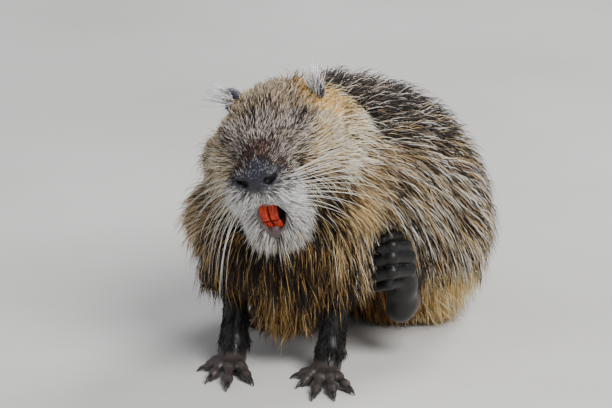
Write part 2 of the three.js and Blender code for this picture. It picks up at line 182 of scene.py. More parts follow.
@dataclass(frozen=True)
class Egg:
    """An ellipsoid, turned by Euler angles about its middle."""

    middle: Place
    radii: Place
    turn: Place = (0.0, 0.0, 0.0)

    def distance(self, points: Rows) -> Rows:
        """Gives the signed distance from each point.

        Args:
            points: Places in millimetres.

        Returns:
            One distance for each point.
        """
        local = points - np.array(self.middle, dtype=float)
        if any(self.turn):
            turn = Euler([math.radians(t) for t in self.turn]).to_matrix()
            local = local @ np.array(turn)
        radii = np.array(self.radii, dtype=float)
        near = np.linalg.norm(local / radii, axis=1)
        slope = np.linalg.norm(local / radii**2, axis=1)
        return near * (near - 1.0) / np.maximum(slope, TINY)


@dataclass(frozen=True)
class Blend:
    """Several shapes joined with fillets."""

    size: float
    shapes: tuple[Shape, ...]

    def distance(self, points: Rows) -> Rows:
        """Gives the signed distance from each point.

        Args:
            points: Places in millimetres.

        Returns:
            One distance for each point.
        """
        whole = self.shapes[0].distance(points)
        for shape in self.shapes[1:]:
            whole = smooth_min(whole, shape.distance(points), self.size)
        return whole


@dataclass(frozen=True)
class Cut:
    """A shape with others cut out of it, each with a soft edge."""

    whole: Shape
    size: float
    cutters: tuple[Shape, ...]

    def distance(self, points: Rows) -> Rows:
        """Gives the signed distance from each point.

        Args:
            points: Places in millimetres.

        Returns:
            One distance for each point.
        """
        left = self.whole.distance(points)
        for cutter in self.cutters:
            left = -smooth_min(-left, cutter.distance(points), self.size)
        return left


def joined(fillet: float, *shapes: Shape) -> Blend:
    """Joins shapes with fillets of one size."""
    return Blend(fillet, shapes)


def chain(line: Sequence[Place], radii: Sequence[float], fillet: float) -> Blend:
    """Joins a line of places with cones."""
    return Blend(fillet, tuple(Cone(*bone) for bone in zip(line, line[1:], radii, radii[1:])))


@dataclass(frozen=True)
class Mirrored:
    """A shape given for the left side, with its mirror image."""

    shape: Shape

    def distance(self, points: Rows) -> Rows:
        """Gives the signed distance from each point."""
        return self.shape.distance(points * [0.0, 1.0, 1.0] + np.abs(points) * [1.0, 0.0, 0.0])


@dataclass(frozen=True)
class Near:
    """A small shape that is worked out only close to it, to save time."""

    shape: Shape
    middle: Place
    reach: float

    SLACK = 12.0

    def distance(self, points: Rows) -> Rows:
        """Gives the signed distance from each point, or one that is too short far away.

        Args:
            points: Places in millimetres.

        Returns:
            One distance for each point.
        """
        away = np.linalg.norm(points - np.array(self.middle, dtype=float), axis=1)
        result = away - self.reach + self.SLACK
        close = away < self.reach
        if close.any():
            result[close] = self.shape.distance(points[close])
        return result


# ---- the posed animal


class HeadPose:
    """The head's own frame: x to its left, y to its back and z to its crown."""

    ORIGIN = (-1.0, 0.0, 208.0)
    PITCH, ROLL, YAW = (math.radians(angle) for angle in (7.0, -12.0, 15.0))

    @classmethod
    def matrix(cls) -> Rows:
        """Gives the head's place and turn.

        Returns:
            A 4 by 4 matrix from the head's frame to the model's.
        """
        turn = (
            Matrix.Rotation(cls.YAW, 4, "Z")
            @ Matrix.Rotation(cls.PITCH, 4, "X")
            @ Matrix.Rotation(cls.ROLL, 4, "Y")
        )
        return np.array(Matrix.Translation(cls.ORIGIN) @ turn)

    @classmethod
    def out(cls, places: Rows) -> Rows:
        """Moves places from the head's frame to the model's."""
        matrix = cls.matrix()
        return np.atleast_2d(places) @ matrix[:3, :3].T + matrix[:3, 3]

    @classmethod
    def into(cls, places: Rows) -> Rows:
        """Moves places from the model's frame to the head's."""
        matrix = cls.matrix()
        return (np.atleast_2d(places) - matrix[:3, 3]) @ matrix[:3, :3]


@dataclass(frozen=True)
class Bones:
    """Named places on the animal, shared by its flesh and its coat."""

    nape: Place = (0, 34, 168)
    withers: Place = (6, 84, 146)
    loin: Place = (12, 130, 122)
    rump: Place = (14, 168, 98)
    seat: Place = (14, 178, 72)
    breast: Place = (-6, 22, 116)
    shoulder_right: Place = (-45, 26, 116)
    shoulder_left: Place = (14, 29, 116)
    elbow_right: Place = (-53, 31, 82)
    elbow_left: Place = (36, 34, 82)
    wrist_right: Place = (-41, 2, 20)
    wrist_left: Place = (38, 14, 20)
    hip_right: Place = (-26, 176, 92)
    knee_right: Place = (-56, 112, 66)
    ankle_right: Place = (-62, 190, 18)
    hip_left: Place = (42, 178, 88)
    knee_left: Place = (76, 134, 104)
    ankle_left: Place = (75, 78, 48)
    tail: tuple[Place, ...] = (
        (8, 218, 42),
        (2, 246, 24),
        (-14, 276, 17),
        (-48, 328, 14),
        (-100, 378, 12),
        (-160, 416, 9),
        (-224, 436, 6),
    )


BONES = Bones()


# ---- flesh


@dataclass(frozen=True)
class HeadFlesh:
    """Skull, cheeks, muzzle, nose, mouth, lids and ears, inset by the depth of the coat."""

    nostril: Place = (9.8, -94, -13)
    mouth: Place = (2, -82, -47)
    eye: Place = (30, -39, 8)
    eye_radius: float = 5.6
    ear: Place = (34.5, 5, 20)
    ear_turn: Place = (8.6, 20, -28.6)
    lid_turn: Place = (0, 0, 40)
    slit: tuple[Place, ...] = ((26, -46.5, 11.5), (31.6, -37.5, 15.8), (32, -26, 16.5))
    slit_radii: Place = (1.4, 2.2, 1.2)
    coat_stations: tuple[float, ...] = (-82, -45, -10, 25)
    coat_depths: tuple[float, ...] = (2.2, 5.5, 6.5, 8.5)

    def distance(self, points: Rows) -> Rows:
        """Gives the signed distance from each point.

        Args:
            points: Places in millimetres.

        Returns:
            One distance for each point.
        """
        at = HeadPose.into(points)
        skull = self.skull().distance(at) + np.interp(at[:, 1], self.coat_stations, self.coat_depths)
        whole = smooth_min(skull, self.nose_pad().distance(at), 5.0)
        whole = smooth_min(whole, self.lids().distance(at), 4.0)
        for hole in self.holes():
            whole = -smooth_min(-whole, hole.distance(at), 2.0)
        whole = smooth_min(whole, self.lips().distance(at), 2.5)
        return smooth_min(whole, self.ears().distance(at), 5.0)

    def skull(self) -> Shape:
        """Gives the head out to the tips of its coat.

        Returns:
            The shape in the head's frame.
        """
        side = joined(
            20.0,
            Egg((24, -16, -24), (28, 36, 32)),
            Egg((13, -75, -25), (16, 17, 17)),
            Egg((25, -38, 8), (9, 12, 9)),
            Egg((12, -60, -54), (14, 16, 15)),
        )
        middle = joined(
            18.0,
            Egg((0, 2, -2), (40, 42, 34)),
            Cone((0, -24, 4), (0, -76, -12), 25, 18),
            Cone((0, -12, -38), (0, -66, -60), 28, 14),
            Egg((0, 14, -26), (57, 34, 40)),
        )
        right_ruff = Egg((-50, 8, -38), (18, 24, 24))
        return joined(20, middle, Mirrored(side), right_ruff)

    def nose_pad(self) -> Shape:
        """Gives the bare nose with a wing round each nostril.

        Returns:
            The shape in the head's frame.
        """
        wing = joined(
            4.0,
            Egg((9, -88, -9), (6.5, 6.5, 4.6), (0, 0, 18)),
            Egg((12.5, -86, -16), (4.4, 5.5, 5)),
        )
        return joined(4, Egg((0, -87, -14), (11.5, 8, 8.5)), Mirrored(wing))

    def lids(self) -> Shape:
        """Gives the swell of both eyes: the right one's open rim and the left one's closed lids.

        Returns:
            The shape in the head's frame.
        """
        rim_at = (-self.eye[0] - 0.5, self.eye[1] - 0.3, self.eye[2])
        opening = Egg(self.opening(), (4.6, 5, 3.3), self.lid_turn)
        rim = Cut(Egg(rim_at, (6.6, 7.6, 6.8)), 1, (opening,))
        closed = Egg((28, -35.5, 11), (6.2, 8.8, 6.2))
        return joined(1, rim, closed)

    def opening(self) -> Place:
        """Gives the middle of the open right eye's slit."""
        return (-self.eye[0] - 4.2, self.eye[1] - 4.6, self.eye[2] + 0.8)

    def holes(self) -> tuple[Shape, ...]:
        """Gives what is hollow: nostrils, the groove under the nose, mouth, eye socket and lid slit.

        Returns:
            Shapes in the head's frame.
        """
        nostril = joined(
            2.0,
            Egg(self.nostril, (3.6, 5, 2.9), (0, 14, 10)),
            Egg((14.2, -91, -11.2), (3.2, 3.4, 1.5), (0, -20, 30)),
        )
        socket = Egg((-self.eye[0], self.eye[1], self.eye[2]), (self.eye_radius,) * 3)
        slit = chain(self.slit, self.slit_radii, 1)
        groove = Egg((0, -95, -25), (1, 3.6, 8))
        mouth = Egg(self.mouth, (9.5, 17, 12.5), (-11, 0, 0))
        return (Mirrored(nostril), groove, mouth, socket, slit)

    def lips(self) -> Shape:
        """Gives the gums that the teeth stand in and the bare lower lip.

        Returns:
            The shape in the head's frame.
        """
        upper = Egg((0, -68, -30), (7.5, 8, 7))
        lower = chain(((-8, -70, -58), (0, -77, -60), (9.5, -70, -53)), (1.8, 2.4, 1.8), 3)
        return joined(1, upper, lower)

    def ears(self) -> Shape:
        """Gives both ears, cupped to the front.

        Returns:
            The shape in the head's frame.
        """
        cup_at = (self.ear[0] + 1.2, self.ear[1] - 4.2, self.ear[2] + 1.0)
        shell = Egg(self.ear, (8.6, 3.2, 10.6), self.ear_turn)
        cup = Egg(cup_at, (6.2, 4.4, 8), self.ear_turn)
        return Mirrored(Cut(shell, 1.2, (cup,)))


@dataclass(frozen=True)
class TrunkFlesh:
    """Neck, chest, back, belly and haunches, and all four legs, inset by the coat."""

    coat_depth: float = 14.0
    leg_heights: tuple[float, float] = (28, 84)
    leg_depths: tuple[float, float] = (3.6, 13)
    trunk_fillet: float = 26.0
    leg_fillet: float = 14.0
    fold: tuple[Place, ...] = (
        (16, 32, 206),
        (29, 30, 182),
        (33, 22, 148),
        (20, 8, 114),
        (14, 2, 86),
    )
    fold_radii: tuple[float, ...] = (13, 13, 12.5, 10, 9)

    def distance(self, points: Rows) -> Rows:
        """Gives the signed distance from each point.

        Args:
            points: Places in millimetres.

        Returns:
            One distance for each point.
        """
        trunk = self.trunk().distance(points) + self.coat_depth
        trunk = smooth_min(trunk, self.mantle().distance(points), 10.0)
        depth = np.interp(points[:, 2], self.leg_heights, self.leg_depths)
        for leg in self.legs():
            trunk = smooth_min(trunk, leg.distance(points) + depth, self.leg_fillet)
        return trunk

    def trunk(self) -> Shape:
        """Gives the trunk out to the tips of its coat.

        Returns:
            The shape.
        """
        neck = (HeadPose.ORIGIN[0], HeadPose.ORIGIN[1] + 12.0, HeadPose.ORIGIN[2] - 22.0)
        return joined(
            self.trunk_fillet,
            Cone(neck, BONES.nape, 46, 62),
            Cone(BONES.nape, BONES.withers, 62, 76),
            Cone(BONES.withers, BONES.loin, 75, 81),
            Cone(BONES.loin, BONES.rump, 81, 77),
            Egg(BONES.seat, (71, 60, 72)),
            Egg((14, 176, 30), (48, 56, 34)),
            Cone(BONES.breast, BONES.withers, 58, 60),
            Egg((-4, 26, 64), (42, 34, 36)),
        )

    def mantle(self) -> Shape:
        """Gives the fold where the neck and shoulder lie over the left flank.

        Returns:
            The shape.
        """
        return chain(self.fold, self.fold_radii, 8)

    def legs(self) -> tuple[Shape, ...]:
        """Gives the legs out to the tips of their coat.

        Returns:
            Right and left foreleg, then right and left hind leg.
        """
        b = BONES
        plans = (
            (14, (b.shoulder_right, b.elbow_right, b.wrist_right), (46, 35, 22, 12)),
            (14, (b.shoulder_left, b.elbow_left, b.wrist_left), (46, 24, 22, 12)),
            (16, (b.hip_right, b.knee_right, b.ankle_right), (44, 30, 20, 12)),
            (16, (b.hip_left, b.knee_left, b.ankle_left), (44, 30, 20, 12)),
        )
        return tuple(
            joined(fillet, Cone(top, knee, *radii[:2]), Cone(knee, ankle, *radii[2:]))
            for fillet, (top, knee, ankle), radii in plans
        )


@dataclass(frozen=True)
class Toe:
    """One toe of a standing foot."""

    heading: float
    length: float
    lift: float


@dataclass(frozen=True)
class Foot:
    """A standing foot, with its first digit first.

    Attributes:
        name: The end of its node's name.
        pad: The pad's radii.
        reach: From the palm to the knuckles.
        claw: How far the claws stand out.
        root: A toe's radius at its root.
        tip: Its radius at its tip.
    """

    name: str
    palm: Place
    ankle: Place
    ankle_radius: float
    pad: Place
    reach: float
    claw: float
    root: float
    tip: float
    toes: tuple[Toe, ...]

    def joints(self, toe: Toe) -> Rows:
        """Gives a toe's knuckle, two joints and tip.

        Args:
            toe: The toe.

        Returns:
            Four places, one row each.
        """
        ahead = self.ahead(toe)
        knuckle = np.array(self.palm) * [1.0, 1.0, 0.0] + ahead * self.reach
        heights = (self.palm[2], self.palm[2] * 0.75 + toe.lift, self.root * 1.02 + 0.8, self.tip * 0.95)
        shares = (0.0, 0.42, 0.76, 1.0)
        return np.array([[*(knuckle + ahead * toe.length * s)[:2], z] for s, z in zip(shares, heights)])

    def ahead(self, toe: Toe) -> Rows:
        """Gives a toe's heading as a unit vector."""
        angle = math.radians(toe.heading)
        return np.array([math.sin(angle), -math.cos(angle), 0.0])

    def shape(self) -> Shape:
        """Gives the whole foot.

        Returns:
            The shape.
        """
        heel = Cone(self.ankle, self.palm, self.ankle_radius, self.pad[2] * 0.9)
        pad = joined(7.0, Egg(self.palm, self.pad), heel)
        toes = [self.finger(toe) for toe in self.toes]
        return Near(joined(2.6, pad, *toes), self.palm, 78.0)

    def finger(self, toe: Toe) -> Shape:
        """Gives one toe with a swell at each joint.

        Args:
            toe: The toe.

        Returns:
            The shape.
        """
        k, a, b, t = (tuple(row) for row in self.joints(toe))
        thin = self.root * 0.84
        swell = self.root * 1.12
        return joined(
            2.0,
            Cone(k, a, self.root, thin),
            Cone(a, b, thin, self.tip * 1.02),
            Cone(b, t, self.tip * 1.1, self.tip * 0.8),
            Egg(a, (swell, swell, swell * 0.9)),
            Egg(b, (self.tip * 1.28,) * 3),
        )

    def claws(self) -> list[Rows]:
        """Gives each claw's line from inside the toe to its point.

        Returns:
            Four places for each toe.
        """
        lines = []
        for toe in self.toes:
            ahead = self.ahead(toe)
            tip = self.joints(toe)[3]
            heights = (self.tip + 0.6, self.tip + 1.2, self.tip + 0.1, 1.0)
            rows = [tip + ahead * self.claw * s for s in (-0.35, 0.15, 0.62, 1.0)]
            lines.append(np.array([[*row[:2], z] for row, z in zip(rows, heights)]))
        return lines


@dataclass(frozen=True)
class RaisedFoot:
    """The lifted left hind foot, curled like a fist."""

    name: str = "hind_left"
    heel: Place = (71, 71, 44)
    instep: Place = (74, 67, 65)
    ball: Place = (78, 63, 87)
    toes: tuple[tuple[Place, Place, Place], ...] = (
        ((80, 62, 70), (73, 47, 72), (62, 48, 67)),
        ((84, 60, 81), (77, 44, 83), (66, 41, 79)),
        ((84, 59, 92), (77, 43, 95), (67, 40, 91)),
        ((81, 58, 101), (77, 44, 104), (68, 40, 101)),
        ((75, 58, 108), (73, 48, 110), (69, 44, 108)),
    )
    radii: tuple[Place, ...] = (
        (5.2, 4.9, 4),
        (5.7, 5.5, 4.6),
        (5.7, 5.4, 4.5),
        (5.2, 4.7, 3.9),
        (4.4, 3.9, 3.3),
    )
    claw: float = 10.0
    hook: float = 4.0

    def shape(self) -> Shape:
        """Gives the whole foot.

        Returns:
            The shape.
        """
        sole = chain((self.heel, self.instep, self.ball), (9.6, 11, 9.5), 8)
        shin = Cone(BONES.ankle_left, self.heel, 9.5, 9.6)
        palm = joined(8, sole, shin)
        return Near(joined(1.8, palm, Blend(0.3, self.fingers())), self.instep, 75)

    def fingers(self) -> tuple[Shape, ...]:
        """Gives each toe.

        Returns:
            The shapes, first digit first.
        """
        fingers = []
        for (knuckle, bow, tip), (root, middle, end) in zip(self.toes, self.radii):
            joint = Egg(bow, (middle * 1.06,) * 3)
            fingers.append(joined(1.6, Cone(knuckle, bow, root, middle), Cone(bow, tip, middle, end), joint))
        return tuple(fingers)

    def claws(self) -> list[Rows]:
        """Gives each claw's line from inside the toe to its point.

        Returns:
            Four places for each toe.
        """
        lines = []
        shares = np.array([[-0.2], [0.25], [0.65], [1.0]])
        for _, bow, tip in self.toes:
            ahead = unit(np.array(tip) - np.array(bow))
            hook = np.array([0.0, 0.0, -self.hook]) * shares * shares
            lines.append(np.array(tip) + ahead * self.claw * shares + hook)
        return lines


@dataclass(frozen=True)
class TailFlesh:
    """The round tail, nearly bare."""

    radii: tuple[float, ...] = (20.0, 18.0, 16.0, 13.2, 11.2, 8.4, 4.4)
    start: float = 190.0

    def distance(self, points: Rows) -> Rows:
        """Gives the signed distance from each point.

        Args:
            points: Places in millimetres.

        Returns:
            One distance for each point.
        """
        line = [tuple(row) for row in smooth_line(np.array(BONES.tail), 25)]
        radii = np.interp(np.linspace(0.0, 6.0, 25), range(7), self.radii)
        near = points[:, 1] > self.start
        result = np.full(len(points), FAR)
        result[near] = chain(line, radii, 3.0).distance(points[near])
        return result


def toes(*sizes: Place) -> tuple[Toe, ...]:
    """Gives a toe for each heading, length and lift."""
    return tuple(Toe(*size) for size in sizes)


FOREFOOT_PAD = (11.0, 12.5, 8.6)
FEET = (
    Foot(
        "front_right", (-39, -8, 8), BONES.wrist_right, 11.5, FOREFOOT_PAD, 7, 8, 4.1, 3.1,
        toes((62, 13, 0), (50, 32, 3), (24, 42, 4), (0, 28, 3), (-47, 13, 2)),
    ),
    Foot(
        "front_left", (38, 5, 8), BONES.wrist_left, 11.5, FOREFOOT_PAD, 7, 8, 4.1, 3.1,
        toes((-60, 13, 0), (-15, 20, 3), (16, 42, 4), (34, 42, 4), (55, 33, 2)),
    ),
    Foot(
        "hind_right", (-58, 142, 8), BONES.ankle_right, 12.5, (16, 23, 9), 12, 11, 5, 3.8,
        toes((34, 36, 2), (16, 42, 3), (1, 44, 3), (-14, 42, 3), (-34, 34, 2)),
    ),
)
FIST = RaisedFoot()


@dataclass(frozen=True)
class WholeFlesh:
    """All the flesh in one, resting on the floor."""

    sole: float = 0.3

    def distance(self, points: Rows) -> Rows:
        """Gives the signed distance from each point.

        Args:
            points: Places in millimetres.

        Returns:
            One distance for each point.
        """
        whole = smooth_min(HeadFlesh().distance(points), TrunkFlesh().distance(points), 14.0)
        for foot in FEET:
            whole = smooth_min(whole, foot.shape().distance(points), 5.0)
        whole = smooth_min(whole, FIST.shape().distance(points), 4.0)
        whole = smooth_min(whole, TailFlesh().distance(points), 10.0)
        return np.maximum(whole, self.sole - points[:, 2])


# ---- meshes


@dataclass(frozen=True)
class Net:
    """Makes a mesh round a shape: a net of four-sided faces, refined where more detail is wanted."""

    low: Place
    high: Place
    cell: float

    BLOCK = 4
    CLOSE = 4.6
    BATCH = 200000
    CORNERS = tuple(product((0, 1), repeat=3))

    def make(self, shape: Shape) -> tuple[Rows, Rows]:
        """Makes the net.

        Args:
            shape: What it goes round.

        Returns:
            Vertices in millimetres, and four vertex numbers for each face.
        """
        spans = zip(self.low, self.high)
        counts = [int(math.ceil((h - l) / self.cell / self.BLOCK)) * self.BLOCK + 1 for l, h in spans]
        samples = self.sample(shape, counts)
        inside = samples < 0.0
        numbers, places = self.crossings(samples, inside)
        faces = []
        for axis in range(3):
            near = [slice(None)] * 3
            far = [slice(None)] * 3
            near[axis], far[axis] = slice(0, -1), slice(1, None)
            first, second = inside[tuple(near)], inside[tuple(far)]
            for leaving in (True, False):
                edges = np.argwhere((first & ~second) if leaving else (~first & second))
                one, two = (axis + 1) % 3, (axis + 2) % 3
                edges = edges[(edges[:, one] > 0) & (edges[:, two] > 0)]
                corners = []
                for step_one, step_two in ((1, 1), (0, 1), (0, 0), (1, 0)):
                    cell = edges.copy()
                    cell[:, one] -= step_one
                    cell[:, two] -= step_two
                    corners.append(numbers[tuple(cell.T)])
                face = np.stack(corners, axis=1)
                faces.append(face if leaving else face[:, ::-1])
        return places, np.concatenate(faces)

    def sample(self, shape: Shape, counts: Sequence[int]) -> Rows:
        """Samples a shape's distances: coarsely everywhere, finely near its surface.

        Args:
            shape: The shape.
            counts: How many samples along x, y and z.

        Returns:
            The distances.
        """
        axes = [l + self.cell * np.arange(n) for l, n in zip(self.low, counts)]
        coarse_axes = [axis[:: self.BLOCK] for axis in axes]
        coarse = shape.distance(np.stack(np.meshgrid(*coarse_axes, indexing="ij"), axis=-1).reshape(-1, 3))
        coarse = coarse.reshape([len(axis) for axis in coarse_axes])
        corner = coarse[:-1, :-1, :-1]
        near = np.zeros(corner.shape, dtype=bool)
        for step in self.CORNERS:
            near |= np.abs(self.shifted(coarse, step, corner.shape)) < self.cell * self.CLOSE
        samples = np.full(counts, FAR, dtype=np.float32)
        samples[:-1, :-1, :-1] = self.spread(corner)
        wanted = np.zeros(counts, dtype=bool)
        wanted[:-1, :-1, :-1] = self.spread(near)
        for axis in range(3):
            wanted |= np.roll(wanted, 1, axis=axis)
        index = np.argwhere(wanted)
        places = np.array(self.low) + index * self.cell
        found = np.empty(len(places), dtype=np.float32)
        for start in range(0, len(places), self.BATCH):
            batch = slice(start, start + self.BATCH)
            found[batch] = shape.distance(places[batch])
        samples[tuple(index.T)] = found
        return samples

    def shifted(self, values: Rows, step: Sequence[int], size: Sequence[int]) -> Rows:
        """Gives the values at one corner of every cell."""
        return values[tuple(slice(start, start + length) for start, length in zip(step, size))]

    def spread(self, blocks: Rows) -> Rows:
        """Repeats each block's value for all of its cells."""
        return blocks.repeat(self.BLOCK, 0).repeat(self.BLOCK, 1).repeat(self.BLOCK, 2)

    def crossings(self, samples: Rows, inside: Rows) -> tuple[Rows, Rows]:
        """Places one vertex in each cell that the surface passes through.

        Args:
            samples: The distances at the cells' corners.
            inside: Where they are negative.

        Returns:
            The vertex number of each cell, and the vertices.
        """
        size = [n - 1 for n in samples.shape]
        count = np.zeros(size, dtype=np.int8)
        for step in self.CORNERS:
            count += self.shifted(inside, step, size)
        cells = np.argwhere((count > 0) & (count < 8))
        numbers = np.full(size, -1, dtype=np.int64)
        numbers[tuple(cells.T)] = np.arange(len(cells))
        values = {step: samples[tuple((cells + step).T)] for step in self.CORNERS}
        total = np.zeros((len(cells), 3))
        hits = np.zeros(len(cells))
        for step in self.CORNERS:
            for axis in range(3):
                if step[axis]:
                    continue
                other = tuple(s + (n == axis) for n, s in enumerate(step))
                a, b = values[step], values[other]
                cross = (a < 0.0) != (b < 0.0)
                share = np.where(cross, a / np.where(cross, a - b, 1.0), 0.0)
                place = np.array(step, dtype=float) + np.eye(3)[axis] * share[:, None]
                total += place * cross[:, None]
                hits += cross
        return numbers, np.array(self.low) + (cells + total / hits[:, None]) * self.cell


def slope(shape: Shape, places: Rows, step: float) -> Rows:
    """Gives the outward direction of a shape.

    Args:
        shape: The shape.
        places: Where to measure.
        step: Distance between the samples.

    Returns:
        Unit vectors, one row each.
    """
    sides = []
    for axis in range(3):
        shift = np.eye(3)[axis] * step
        sides.append(shape.distance(places + shift) - shape.distance(places - shift))
    return unit(np.stack(sides, axis=1))


def settle(shape: Shape, places: Rows) -> Rows:
    """Moves places onto a shape's surface, in two corrections.

    Args:
        shape: The shape.
        places: The places.

    Returns:
        The places on the surface.
    """
    longest_move = 1.2
    for _ in range(2):
        away = np.clip(shape.distance(places), -longest_move, longest_move)
        places = places - slope(shape, places, 0.4) * away[:, None]
    return places


def make_mesh(
    name: str,
    places: Rows,
    corners: Rows,
    starts: Rows,
    tints: Rows | None = None,
    patches: Rows | None = None,
) -> Piece:
    """Makes a smooth-shaded object in the row frame.

    Args:
        name: The object's name.
        places: Vertices in millimetres.
        corners: Vertex numbers, face after face.
        starts: Where each face starts in corners.
        tints: A colour for each vertex.
        patches: A place on the OFBake map for each corner.

    Returns:
        The object.
    """
    mesh = bpy.data.meshes.new(name)
    mesh.vertices.add(len(places))
    mesh.vertices.foreach_set("co", ((places + FOREFEET_IN_ROW) * METRES).astype(np.float32).ravel())
    mesh.loops.add(len(corners))
    mesh.loops.foreach_set("vertex_index", corners.astype(np.int32))
    mesh.polygons.add(len(starts))
    mesh.polygons.foreach_set("loop_start", starts.astype(np.int32))
    mesh.polygons.foreach_set("use_smooth", np.ones(len(starts), dtype=bool))
    mesh.update(calc_edges=True)
    if tints is not None:
        layer = mesh.color_attributes.new("tint", "FLOAT_COLOR", "POINT")
        whole = np.concatenate([tints, np.ones((len(tints), 1))], axis=1)
        layer.data.foreach_set("color", whole.astype(np.float32).ravel())
    if patches is not None:
        layer = mesh.uv_layers.new(name="OFBake")
        layer.data.foreach_set("uv", patches.astype(np.float32).ravel())
    piece = bpy.data.objects.new(name, mesh)
    bpy.context.scene.collection.objects.link(piece)
    return piece


def capped_rings(rings: int, sides: int) -> list[list[int]]:
    """Gives the faces of a closed stack of rings.

    Args:
        rings: How many rings there are.
        sides: How many vertices each one has.

    Returns:
        Vertex numbers of each face, the two ends last.
    """
    faces = []
    for ring in range(rings - 1):
        for side in range(sides):
            a, b = ring * sides + side, ring * sides + (side + 1) % sides
            faces.append([a, b, b + sides, a + sides])
    faces.append(list(range(sides))[::-1])
    faces.append([(rings - 1) * sides + side for side in range(sides)])
    return faces


def tube(path: Rows, widths: Rows, sides: int, flat: float = 1.0) -> tuple[Rows, list[list[int]]]:
    """Makes a closed tapered tube along a line.

    Args:
        path: Places along its middle.
        widths: Its radius at each place.
        sides: How many sides it has.
        flat: Its height as a share of its width.

    Returns:
        Vertices and faces.
    """
    ahead = unit(np.gradient(path, axis=0))
    across = unit(np.cross(ahead, UP) + NUDGE)
    above = np.cross(across, ahead)
    angles = 2.0 * math.pi * np.arange(sides) / sides
    rings = []
    for middle, width, side, top in zip(path, widths, across, above):
        ring = np.cos(angles)[:, None] * side + np.sin(angles)[:, None] * top * flat
        rings.append(middle + ring * width)
    return np.concatenate(rings), capped_rings(len(path), sides)


def smooth_line(places: Rows, count: int) -> Rows:
    """Draws a smooth line through places.

    Args:
        places: The places it passes.
        count: How many places to return.

    Returns:
        Places along the line.
    """
    knots = np.concatenate([[2 * places[0] - places[1]], places, [2 * places[-1] - places[-2]]])
    result = []
    for share in np.linspace(0.0, len(places) - 1 - NUDGE, count):
        step = int(share)
        t = share - step
        a, b, c, d = knots[step : step + 4]
        bend, twist = 2 * a - 5 * b + 4 * c - d, 3 * b - a - 3 * c + d
        result.append(0.5 * (2 * b + (c - a) * t + bend * t * t + twist * t**3))
    return np.array(result)


def flatten(faces: Sequence[Sequence[int]]) -> tuple[Rows, Rows]:
    """Lists faces' corners one after another."""
    lengths = np.array([len(face) for face in faces])
    return np.concatenate([np.array(face) for face in faces]), np.concatenate([[0], np.cumsum(lengths)[:-1]])


# ---- finishes


def linear(code: str) -> Rows:
    """Turns a six-digit colour code into scene colour."""
    parts = [int(code[i : i + 2], 16) / 255.0 for i in (0, 2, 4)]
    return np.array([p / 12.92 if p <= 0.04045 else ((p + 0.055) / 1.055) ** 2.4 for p in parts])


